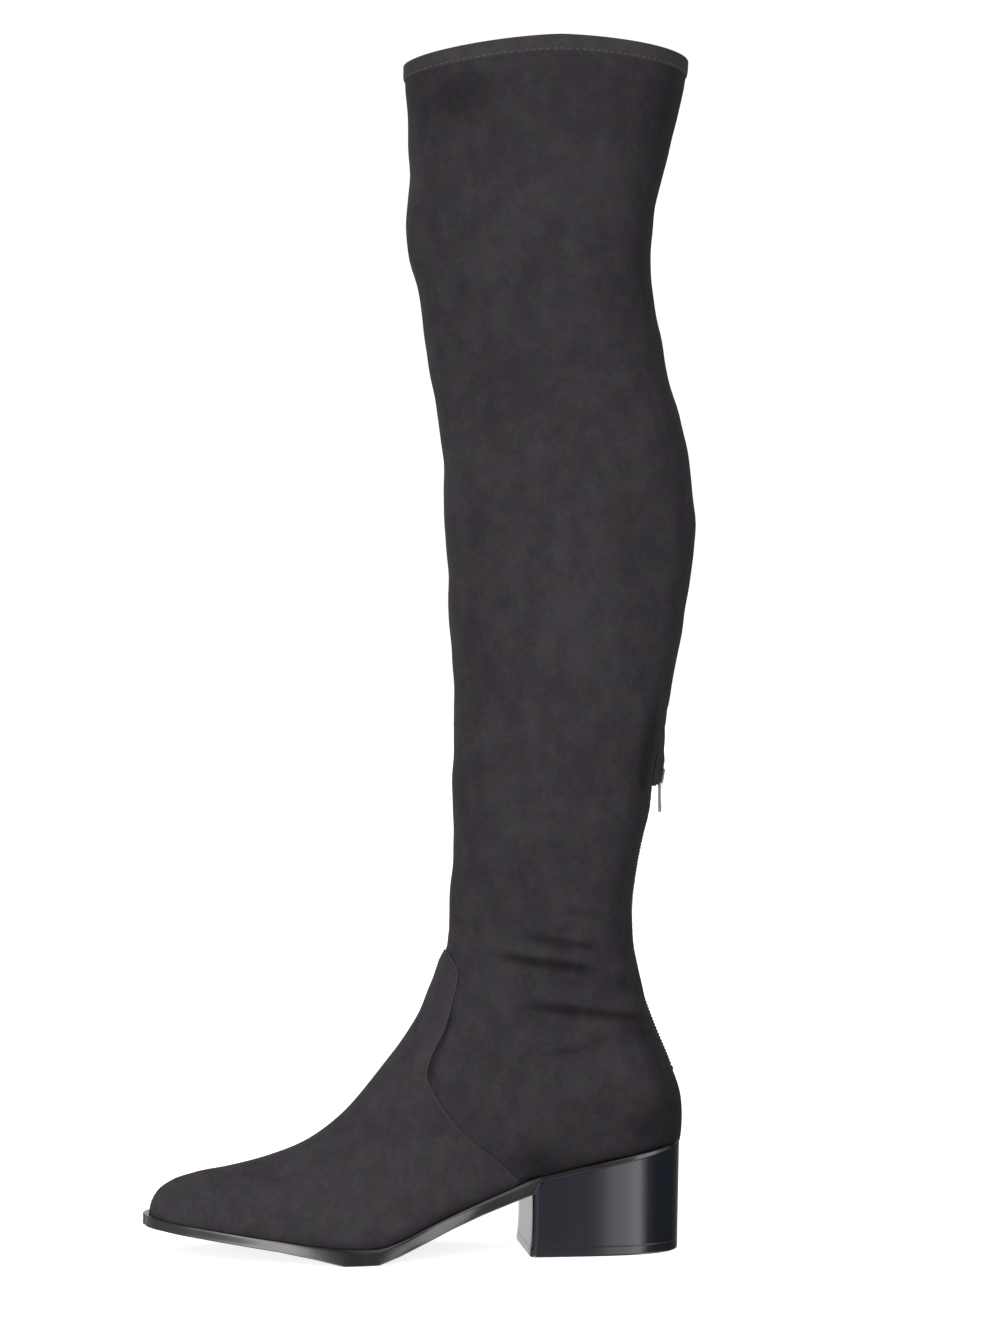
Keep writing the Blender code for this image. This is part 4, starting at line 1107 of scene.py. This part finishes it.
class BOOT_OT_vamp(bpy.types.Operator):
    """The overlay of the front of the foot, laid over the upper, with a cut edge"""

    bl_idname = "boot.make_vamp"
    bl_label = "Vamp"

    def execute(self, context):
        size, c = sizes(), colours()
        mesh = laid(boot_skin(size["gap"] + size["vamp"], step=4.0))
        cut(mesh, (0, 0, VAMP_TOP), (0, 0, 1))
        cut_along(mesh, 1, lambda p: vamp_edge(p[:, 2]), (0, 1, 0))
        shear(mesh, 1, lambda p: -vamp_edge(p[:, 2]))
        for inside in (size["raw_edge"], 0.35 * PARED_WIDTH, 0.7 * PARED_WIDTH, PARED_WIDTH):
            split(mesh, (0, -inside, 0), (0, 1, 0))
        for face in mesh.faces:
            face.material_index = 1 if face.calc_center_median().y > -size["raw_edge"] * MM else 0
        shear(mesh, 1, lambda p: vamp_edge(p[:, 2]))
        rest_on_sole(mesh)
        face_out(mesh, Vector((0, -0.03, 0.03)))
        cut_edge = suede("cut edge of suede", c.suede_edge, c.suede_worn, 0.5, 0.0, 0.1)
        skin = suede("paler brushed suede", c.vamp, c.vamp_worn)
        obj = piece("vamp_overlay", mesh, [skin, cut_edge], replaces=("vamp",))
        self.pare(obj, size["vamp"])
        rounded(obj, 0.2)
        return {"FINISHED"}

    def pare(self, obj, thickness):
        """Thins the overlay from its outer face towards its free edge, and gives it its wall."""
        data = obj.data
        places = np.array([v.co for v in data.vertices]) / MM
        normals = np.array([v.normal for v in data.vertices])
        depth = PARED_LESS + (PARED - PARED_LESS) * (1 - between(places[:, 2], *PARED_LESS_RUN))
        pared = depth * ease(1 + behind_vamp(places) / PARED_WIDTH)
        data.vertices.foreach_set("co", ((places - normals * pared[:, None]) * MM).ravel())
        group = obj.vertex_groups.new(name="thickness")
        for i, share in enumerate(1 - pared / thickness):
            group.add([i], float(share), "REPLACE")
        walled(obj, thickness, rim=1).vertex_group = group.name


class BOOT_OT_collar_hem(bpy.types.Operator):
    """The hem that is turned over the collar's rim, and the stitches along its seam"""

    bl_idname = "boot.make_collar_hem"
    bl_label = "Collar hem"

    def execute(self, context):
        size, c = sizes(), colours()
        skin = boot_skin(0.0, step=3.0)[-HEM_RINGS:]
        rim, heights = skin[-1], skin[..., 2]
        seam = rim[:, 2] - size["hem_height"]

        def level(share, outward):
            """The skin's points between seam and rim, moved outward along the level."""
            row = np.empty_like(rim)
            row[:, 2] = seam + share * size["hem_height"]
            for i, wanted in enumerate(row[:, 2]):
                row[i, 0] = np.interp(wanted, heights[:, i], skin[:, i, 0])
                row[i, 1] = np.interp(wanted, heights[:, i], skin[:, i, 1])
            out = flat_out(row)
            return row + out * outward, out

        outer = size["gap"] + size["hem"]
        inner = -size["wall"] - size["gap"] - size["hem"]
        middle, reach = (outer + inner) / 2, (outer - inner) / 2
        under = reach - size["hem"]
        rows = [level(0.0, HEM_LIP)[0]]
        rows += [level(share, outer - thin)[0] for share, thin in HEM_OUTSIDE]
        for turn in np.linspace(0.0, math.pi, 9):
            row, _ = level(HEM_TURN, middle + reach * math.cos(turn))
            row[:, 2] += HEM_CROWN * math.sin(turn)
            rows.append(row)
        rows += [level(share, inner)[0] for share in (0.8, 0.5, 0.2, 0.03, 0.0)]
        rows += [level(share, middle - under)[0] for share in (0.0, 0.3, 0.6, HEM_TURN)]
        rows += [level(share, middle + under)[0] for share in (HEM_TURN, 0.6, 0.45)]
        rows += [level(share, HEM_LIP)[0] for share in (0.3, 0.0)]
        mesh = laid(np.array(rows))
        face_out(mesh)
        # the hem's suede is painted paler, partly as light from above on the turned rim
        band = suede("suede of the turned hem", c.band, c.band_worn, 0.6)
        piece("collar_band", mesh, [band], replaces=("collar_hem",))
        path, out = level(HEM_STITCH, outer - HEM_STITCH_THIN)
        piece("collar_stitches", stitches(path, out, size), [thread_twist()])
        return {"FINISHED"}


def flat_out(row):
    """Level unit vectors out of a closed row of points, whose first and last points meet."""
    wrapped = np.concatenate([row[-2:-1], row, row[1:2]])
    along = wrapped[2:] - wrapped[:-2]
    out = np.column_stack([along[:, 1], -along[:, 0], np.zeros(len(row))])
    out /= np.maximum(np.linalg.norm(out, axis=1, keepdims=True), TINY)
    centre = row.mean(axis=0)
    if np.sum((row - centre) * out) < 0:
        out = -out
    return out


class BOOT_OT_insole(bpy.types.Operator):
    """The layer under the foot, from wall to wall, with a softly rounded upper edge"""

    bl_idname = "boot.make_insole"
    bl_label = "Insole"

    def execute(self, context):
        size = sizes()
        mesh = laid(boot_skin(-size["wall"] - 2 * size["gap"], step=6.0, fine_step=6.0, around=96))
        cut(mesh, (0, 0, INSOLE_BELOW), (0, 0, 1))
        low = size["gap"]
        shear(mesh, 2, lambda p: -sole_top(p[:, 1]))
        cut(mesh, (0, 0, low), (0, 0, -1), fill=True)
        cut(mesh, (0, 0, low + size["insole"]), (0, 0, 1), fill=True)
        for y in np.arange(-122.0, 120.0, 4.0):
            split(mesh, (0, y, 0), (0, 1, 0), merge=1e-6)
        shear(mesh, 2, lambda p: sole_top(p[:, 1]))
        face_out(mesh)
        obj = piece("insole_sock", mesh, [lining_knit()], replaces=("insole",))
        rounded(obj, 0.5, 3, 60)
        return {"FINISHED"}


def sole_profile(half, top, bottom, lean):
    """Half of one section of the sole, from the middle of its underside round its edge to its top."""
    thick = top - bottom
    low = min(SOLE_ROUND_LOW, 0.2 * thick, 0.4 * half)
    high = min(SOLE_ROUND_HIGH, 0.12 * thick, 0.3 * half)
    lean = min(lean, 0.45 * half)
    foot = half - lean
    points = [(share * (foot - low), bottom) for share in (0.0, 0.3, 0.6, 0.85, 0.97)]
    for turn in np.radians([0, 22, 45, 67, 90]):
        points.append((foot - low + low * math.sin(turn), bottom + low - low * math.cos(turn)))
    for share in (0.25, 0.5, 0.75):
        points.append((foot + lean * share, bottom + low + (thick - low - high) * share))
    for turn in np.radians([0, 30, 60, 90]):
        points.append((half - high + high * math.cos(turn), top - high + high * math.sin(turn)))
    return points + [(share * (half - high), top) for share in (0.9, 0.6, 0.3, 0.0)]


class BOOT_OT_outsole(bpy.types.Operator):
    """The sole from toe to heel seat, with its painted edge and a plain tread underneath"""

    bl_idname = "boot.make_outsole"
    bl_label = "Outsole"

    def execute(self, context):
        ys = np.unique([*np.linspace(SOLE[0].y, SOLE[-1].y, 150), *(s.y for s in SOLE)])
        top, half, shift, lean = (column(SOLE, "y", key, ys) for key in ("top", "half", "shift", "lean"))
        bottom = sole_bottom(ys)
        toe_end, heel_end = (
            [(ys[i] + sign * SOLE_END * share, math.sqrt(1 - share**2), i) for share in (0.55, 0.85, 0.98)]
            for i, sign in ((0, -1), (-1, 1))
        )
        grid = []
        for y, share, i in toe_end[::-1] + [(y, 1.0, i) for i, y in enumerate(ys)] + heel_end:
            side = sole_profile(half[i] * share, top[i], bottom[i], lean[i])
            ring = side + [(-x, z) for x, z in side[-2:0:-1]] + side[:1]
            grid.append([(shift[i] + x, y, z) for x, z in ring])
        mesh = laid(np.array(grid))
        close_holes(mesh)
        face_out(mesh)
        for face in mesh.faces:
            face.material_index = 1 if face.normal.z < TREAD_FACES else 0
        c = colours()
        edge = polished("painted sole edge", c.sole, 0.13, 0.8, 0.26, 0.06, 1.5)
        tread = suede("sole tread", c.tread, c.rubber, 0.6, 0.0, 0.5)
        piece("sole_outer", mesh, [edge, tread], replaces=("outsole",), smooth_angle=60)
        return {"FINISHED"}


def heel_half():
    """Half of the heel seen from above, from the middle of its breast to the middle of its back."""
    size = sizes()
    breast, corner, back = size["breast"], size["heel_corner"], size["heel_back"]
    tail = HEEL_TAIL + (back - HEEL_TAIL) * np.sin(np.linspace(0, math.pi / 2, 26)[1:])
    ys = np.concatenate([np.linspace(breast + corner, HEEL_TAIL, 14), tail])
    halves = column(SOLE, "y", "half", ys) - size["heel_inset"]
    points = [(share * (halves[0] - corner), breast) for share in (0.0, 0.35, 0.7)]
    for turn in np.radians([0, 15, 30, 45, 60, 75]):
        points.append((halves[0] - corner * (1 - math.sin(turn)), breast + corner * (1 - math.cos(turn))))
    return points + list(zip(halves, ys)) + [(share * halves[-1], ys[-1]) for share in (0.5, 0.0)]


def heel_form(levels):
    """A closed piece of the heel. A level without a height follows the underside of the sole."""
    half = heel_half()
    outline = half + [(-x, y) for x, y in half[-2:0:-1]] + half[:1]
    breast, top = half[0][1], SOLE[-1].top
    rows = []
    for level in levels:
        row = []
        for x, y in outline:
            height = float(sole_bottom(y)) - HEEL_SEAM if level.z is None else level.z
            down = 1 - height / top
            share = (y - breast) / (SOLE[-1].y - breast)
            wide = x * (1 - HEEL_TAPER * down) * (1 - level.drawn / HEEL_HALF)
            forward = level.forward * max(0.0, 1 - BREAST_SHARE * share)
            row.append((wide, y - down * share - level.drawn * (2 * share - 1) - forward, height))
        rows.append(row)
    mesh = laid(np.array(rows))
    close_holes(mesh)
    face_out(mesh)
    return mesh


class BOOT_OT_heel(bpy.types.Operator):
    """The lacquered heel block and its rubber top piece"""

    bl_idname = "boot.make_heel"
    bl_label = "Heel"

    def execute(self, context):
        c, top = colours(), sizes()["top_piece"]
        foot = [Level(top + PIECE_SEAM + level.z, *level[1:]) for level in BLOCK_FOOT]
        lacquer = polished("heel lacquer", c.heel, 0.07, 1.0, 0.16, 0.03, 0.7)
        self.made("heel_lacquered", foot + BLOCK, lacquer, "heel_lacquer", "heel_block")
        edge = [Level(top + level.z, *level[1:]) for level in TOP_PIECE_EDGE]
        rubber = polished("heel rubber", c.rubber, 0.1, 0.95, 0.2, 0.04, 0.9)
        self.made("heel_tread", TOP_PIECE + edge, rubber, "tread_rubber", "heel_top_piece")
        return {"FINISHED"}

    def made(self, name, levels, finish, slot, solid):
        piece(name, heel_form(levels), [finish], replaces=(solid,), smooth_angle=50)


def zip_line(z):
    """Point on the zip's line, the direction up the zip and its outward normal, at height z."""
    step = 0.5
    lean = float(back_of_upper(z + step) - back_of_upper(z - step)) / (2 * step)
    along = Vector((0.0, lean, 1.0)).normalized()
    return Vector((0.0, float(back_of_upper(z)), z)), along, Vector((0.0, along.z, -along.y))


def zip_block(mesh, z, aside, shape, long):
    """A bevelled block on the zip's line at height z, with its middle that far to one side."""
    point, along, outward = zip_line(z)
    turn = Matrix((Vector((1, 0, 0)), along, outward)).transposed().to_4x4()
    place = Matrix.Translation((point + Vector((aside, 0, 0)) - outward * shape.sunk) * MM)
    scale = Matrix.Diagonal((shape.width * MM, long * MM, shape.thick * MM, 1.0))
    made = bmesh.ops.create_cube(mesh, size=1.0, matrix=place @ turn @ scale)
    edges = dict.fromkeys(e for v in made["verts"] for e in v.link_edges)
    bmesh.ops.bevel(
        mesh, geom=list(edges), offset=shape.bevel * MM, offset_type="OFFSET", affect="EDGES",
        segments=shape.segments, profile=0.5, material=-1,
    )


class BOOT_OT_zip(bpy.types.Operator):
    """The zip's tape, its moulded teeth and bottom stop, and the stitches beside the slot"""

    bl_idname = "boot.make_zip"
    bl_label = "Zip"

    def execute(self, context):
        size = sizes()
        self.tape(size)
        self.teeth(size)
        self.slot_stitches(size)
        return {"FINISHED"}

    def tape(self, size):
        """A strip of the skin's form behind the slot."""
        mesh = laid(boot_skin(-size["wall"] - size["gap"], step=4.0, fine_step=4.0))
        half, high, low = size["tape_half"], size["slider"] + TAPE_PAST, size["zip_low"] - TAPE_PAST
        cut(mesh, (0, ZIP_BEHIND, 0), (0, -1, 0))
        for sign in (1, -1):
            cut(mesh, (sign * half, 0, 0), (sign, 0, 0))
        cut(mesh, (0, 0, high), (0, 0, 1))
        cut(mesh, (0, 0, low), (0, 0, -1))
        bmesh.ops.subdivide_edges(mesh, edges=mesh.edges, cuts=1, use_grid_fill=True)
        face_out(mesh, Vector((0, 0.03, 0.15)))
        cloth = woven("zip tape", colours().tape, 700.0, 0.15)
        obj = piece("zip_tape_woven", mesh, [cloth], replaces=("zip_tape",))
        walled(obj, size["tape"])

    def teeth(self, size):
        """Two rows of teeth that meet in the middle, turn and turn about, and the stop below them."""
        mesh = bmesh.new()
        pitch, low = size["tooth_pitch"], size["zip_low"] + TEETH_ABOVE
        for i in range(2 * int((size["zip_high"] - low) / pitch)):
            aside = TOOTH_ASIDE if i % 2 else -TOOTH_ASIDE
            zip_block(mesh, low + i * pitch / 2, aside, TOOTH, TOOTH.length * pitch)
        zip_block(mesh, size["zip_low"] + STOP_ABOVE, 0.0, STOP, STOP.length)
        finish = polished("zip teeth", colours().teeth, 0.38, 0.0, 0.5, 0.02, 5.0)
        piece("zip_teeth", mesh, [finish], replaces=("zip_coil",), smooth_angle=30)

    def slot_stitches(self, size):
        """One row of stitches down each side of the slot and across below it."""
        edge, low = size["slot_half"] + SLOT_STITCH_OUT, size["zip_low"] - SLOT_STITCH_BELOW
        heights = np.arange(low, size["slider"] - SLOT_STITCH_TOP, 2.0)
        corners = [(edge, z) for z in heights[::-1]] + [(x, low) for x in np.linspace(edge, -edge, 8)[1:-1]]
        corners += [(-edge, z) for z in heights]
        points = boot_skin(0.0).reshape(-1, 3)
        points = points[(points[:, 1] > ZIP_BEHIND) & (np.abs(points[:, 0]) < ZIP_NEAR)]
        path, sides = [], []
        for x, z in corners:
            gap = np.hypot(points[:, 0] - x, points[:, 2] - z)
            near = np.argsort(gap)[:4]
            weight = 1 / np.maximum(gap[near], 0.05)
            y = float(np.sum(points[near, 1] * weight) / np.sum(weight))
            _, _, outward = zip_line(z)
            path.append((x, y, z))
            sides.append(tuple(Vector((SKIN_TURN * x, outward.y, outward.z)).normalized()))
        piece("zip_stitches", stitches(path, sides, {**size, "thread": SLOT_THREAD}), [thread_twist()])


def flap_tube(low, high, inside, side):
    """A closed length of the flap, from its outer edge on one side to x = inside."""
    rows = GARAGE[::-1]
    heights = np.linspace(low, high, 2 + int((high - low) / FLAP_STEP))
    tube = []
    halves, stands = (column(rows, "z", key, heights) for key in ("half", "proud"))
    for z, half, proud in zip(heights, halves, stands):
        point, _, outward = zip_line(z)
        ring = []
        for turn in np.linspace(0, 2 * math.pi, 49):
            x = inside + (half - inside) * (1 + math.cos(turn)) / 2
            round_off = max(1 - (x / half) ** 2, 0.0) ** FLAP_FADE
            crumple = CRUMPLE * math.sin(z / CRUMPLE_FINE + CRUMPLE_LEAN * x) * round_off
            out = (proud + crumple) * round_off if math.sin(turn) > 0 else -FLAP_ROOT * round_off
            ring.append(Vector((side * x, 0, 0)) + point + outward * (out - x * x / (2 * FLAP_CURVE)))
        tube.append(ring)
    mesh = laid(np.array(tube))
    close_holes(mesh)
    bmesh.ops.recalc_face_normals(mesh, faces=mesh.faces)
    return mesh


def grown_together(meshes, grain):
    """One even mesh around overlapping closed forms, smoothed where they meet."""
    data = bpy.data.meshes.new("grown_together")
    whole = bmesh.new()
    for mesh in meshes:
        mesh.to_mesh(data)
        mesh.free()
        whole.from_mesh(data)
    whole.to_mesh(data)
    whole.free()
    obj = linked("grown_together", data)
    voxels = obj.modifiers.new("voxels", "REMESH")
    voxels.mode = "VOXEL"
    voxels.voxel_size = grain * MM
    grown = bmesh.new()
    grown.from_object(obj, bpy.context.evaluated_depsgraph_get())
    bpy.data.objects.remove(obj)
    bpy.data.meshes.remove(data)
    along = {"use_axis_x": True, "use_axis_y": True, "use_axis_z": True}
    for _ in range(3):
        bmesh.ops.smooth_vert(grown, verts=grown.verts, factor=0.5, **along)
    return grown


class BOOT_OT_garage(bpy.types.Operator):
    """The padded flap of suede that covers the top of the zip, and its cheeks beside the slider"""

    bl_idname = "boot.make_garage"
    bl_label = "Zip flap"

    def execute(self, context):
        low, high = GARAGE[-1].z, GARAGE[0].z
        tubes = [flap_tube(FLAP_PART, high, -CHEEK_INSIDE, side) for side in (1, -1)]
        tubes += [flap_tube(low, FLAP_PART + FLAP_OVERLAP, CHEEK_INSIDE, side) for side in (1, -1)]
        piece("zip_flap", grown_together(tubes, FLAP_GRAIN), [upper_suede()], replaces=("zip_garage",))
        return {"FINISHED"}


def from_solid(name, solid, body):
    """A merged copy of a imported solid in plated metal, its flat faces joined and its edges rounded."""
    mesh = bmesh.new()
    mesh.from_mesh(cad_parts[solid].data)
    bmesh.ops.remove_doubles(mesh, verts=mesh.verts, dist=1e-6)
    bmesh.ops.dissolve_limit(mesh, angle_limit=math.radians(1.0), verts=mesh.verts, edges=mesh.edges)
    bmesh.ops.recalc_face_normals(mesh, faces=mesh.faces)
    for face in mesh.faces:
        face.material_index = 0
    plate = plated("bright plating", colours().metal)
    obj = piece(name, mesh, [plate], body, (solid,), 30)
    rounded(obj, sizes()["metal_edge"], 3, 30)


class BOOT_OT_slider(bpy.types.Operator):
    """The zip's slider, at the top of the closed zip"""

    bl_idname = "boot.make_slider"
    bl_label = "Slider"

    def execute(self, context):
        from_solid("slider_plated", "zip_slider", "boot")
        return {"FINISHED"}


class BOOT_OT_pull(bpy.types.Operator):
    """The flat pull that swings on the slider's bail"""

    bl_idname = "boot.make_pull"
    bl_label = "Pull"

    def execute(self, context):
        from_solid("pull_tab", "zip_pull", "pull")
        return {"FINISHED"}


# ---------------------------------------------------------------- stage


def towards(bearing, rise=0.0):
    """The direction that lies at a bearing, in degrees from the outer side towards the heel, and a rise."""
    turn, lift = math.radians(bearing), math.radians(rise)
    return Vector((math.cos(turn) * math.cos(lift), math.sin(turn) * math.cos(lift), math.sin(lift)))


def soft_sun(name, bearing, rise, energy, spread):
    """Even soft light from one side."""
    data = bpy.data.lights.new(name, "SUN")
    data.energy = energy
    data.angle = math.radians(spread)
    obj = linked(name, data)
    obj.rotation_euler = towards(bearing, rise).to_track_quat("Z", "Y").to_euler()
    obj.visible_glossy = False


class BOOT_OT_stage(bpy.types.Operator):
    """A pale floor, soft studio light and the camera beside the boot"""

    bl_idname = "boot.make_stage"
    bl_label = "Stage"

    def execute(self, context):
        scene = context.scene
        self.floor()
        for sun in SUNS:
            soft_sun(*sun)
        self.world(scene)
        self.camera(scene)
        scene.view_settings.view_transform = "Standard"
        scene.view_settings.look = "None"
        return {"FINISHED"}

    def floor(self):
        mesh = bmesh.new()
        bmesh.ops.create_grid(mesh, x_segments=2, y_segments=2, size=FLOOR_HALF)
        data = bpy.data.meshes.new("floor")
        mesh.to_mesh(data)
        mesh.free()
        floor = linked("floor", data)
        made, tree, shader = bare(
            "pale floor", Specular_IOR_Level=0.1, Roughness=0.8, Emission_Strength=FLOOR_GLOW,
            Emission_Color=(1.0, 1.0, 1.0, 1.0),
        )
        pale = colours().floor
        mottled = blended(tree, noise(tree, object_place(tree), 3.0), pale, times(pale, 0.985))
        feed(tree, shader, {"Base Color": mottled})
        data.materials.append(made)
        floor.visible_glossy = False
        floor.visible_diffuse = False

    def world(self, scene):
        """The plain backdrop, the light from all round, and what smooth finishes mirror."""
        world = bpy.data.worlds.new("studio")
        scene.world = world
        world.use_nodes = True
        tree = world.node_tree
        tree.nodes.clear()
        direction = node(tree, "TexCoord").outputs["Generated"]
        path = node(tree, "LightPath")
        seen = {"Color": (1.0, 1.0, 1.0, 1.0), "Strength": BACKDROP}
        shader = node(tree, "Background", {"Strength": self.ambient(tree, direction)})
        mirrored = {"Strength": self.mirrored(tree, direction)}
        for ray, look in (("Is Glossy Ray", mirrored), ("Is Camera Ray", seen)):
            other = node(tree, "Background", look)
            inputs = {0: path.outputs[ray], 1: shader.outputs[0], 2: other.outputs[0]}
            shader = node(tree, "MixShader", inputs)
        node(tree, "OutputWorld", {"Surface": shader.outputs[0]})

    def ambient(self, tree, direction):
        """Light from all round, stronger from some sides."""
        lobes = []
        for side, narrow, wide, strength in AMBIENT:
            facing = node(tree, "VectorMath", {0: direction, 1: side}, operation="DOT_PRODUCT")
            lobes.append((ranged(tree, facing.outputs["Value"], narrow, wide, 0.0, strength), 1.0))
        return summed(tree, *lobes)

    def mirrored(self, tree, direction):
        """One ramp round the boot near the horizon and one far below it."""
        parts = node(tree, "SeparateXYZ", {0: direction})
        bearing = maths(tree, "ARCTAN2", parts.outputs["Y"], parts.outputs["X"])
        share = ranged(tree, bearing, -math.pi, math.pi, kind="LINEAR")
        falls = ranged(tree, parts.outputs["Z"], -LOW_FULL, -LOW_FROM, 1.0, 0.0)
        inputs = {0: falls, 2: self.ramp(tree, share, LEVEL), 3: self.ramp(tree, share, LOW)}
        return node(tree, "Mix", inputs).outputs[0]

    def ramp(self, tree, share, glows):
        """The strengths of a table of glows as a ramp over the share of a whole turn."""
        made = node(tree, "ValToRGB", {"Fac": share})
        brightest = max(g.strength for g in glows)
        elements = made.color_ramp.elements
        elements[0].position, elements[-1].position = 0.0, 1.0
        for g in glows[1:-1]:
            elements.new((g.bearing + 180.0) / 360.0)
        for element, g in zip(elements, glows):
            element.color = (*(g.strength / brightest,) * 3, 1.0)
        return summed(tree, (made.outputs["Color"], brightest))

    def camera(self, scene):
        data = bpy.data.cameras.new("camera")
        camera = linked("camera", data)
        look = towards(CAMERA_LOOK)
        camera.location = Vector(CAMERA_AIM) - look * CAMERA_AWAY
        camera.rotation_euler = look.to_track_quat("-Z", "Y").to_euler()
        data.sensor_fit = "VERTICAL"
        data.sensor_height = FILM
        data.lens = LENS
        data.clip_end = 50.0
        scene.camera = camera


# ---------------------------------------------------------------- panel and run

MAKERS = (
    BOOT_OT_upper, BOOT_OT_vamp, BOOT_OT_collar_hem, BOOT_OT_insole, BOOT_OT_outsole, BOOT_OT_heel,
    BOOT_OT_zip, BOOT_OT_garage, BOOT_OT_slider, BOOT_OT_pull, BOOT_OT_stage,
)


class BOOT_PT_panel(bpy.types.Panel):
    """Makes the boot's pieces and shows their sizes and colours"""

    bl_idname = "BOOT_PT_panel"
    bl_label = "Over-the-knee boot"
    bl_space_type = "VIEW_3D"
    bl_region_type = "UI"
    bl_category = "Boot"

    def draw(self, context):
        layout = self.layout
        for maker in MAKERS:
            layout.operator(maker.bl_idname)
        for title, group in (("Sizes", context.scene.boot_sizes), ("Colours", context.scene.boot_colours)):
            layout.label(text=title)
            for name in type(group).__annotations__:
                layout.prop(group, name)


CLASSES = (BootSizes, BootColours, *MAKERS, BOOT_PT_panel)


def register():
    for item in CLASSES:
        bpy.utils.register_class(item)
    bpy.types.Scene.boot_sizes = bpy.props.PointerProperty(type=BootSizes)
    bpy.types.Scene.boot_colours = bpy.props.PointerProperty(type=BootColours)


def unregister():
    del bpy.types.Scene.boot_colours
    del bpy.types.Scene.boot_sizes
    for item in reversed(CLASSES):
        bpy.utils.unregister_class(item)


def main():
    register()
    for maker in MAKERS:
        family, name = maker.bl_idname.split(".")
        getattr(getattr(bpy.ops, family), name)()


if __name__ == "__main__":
    main()
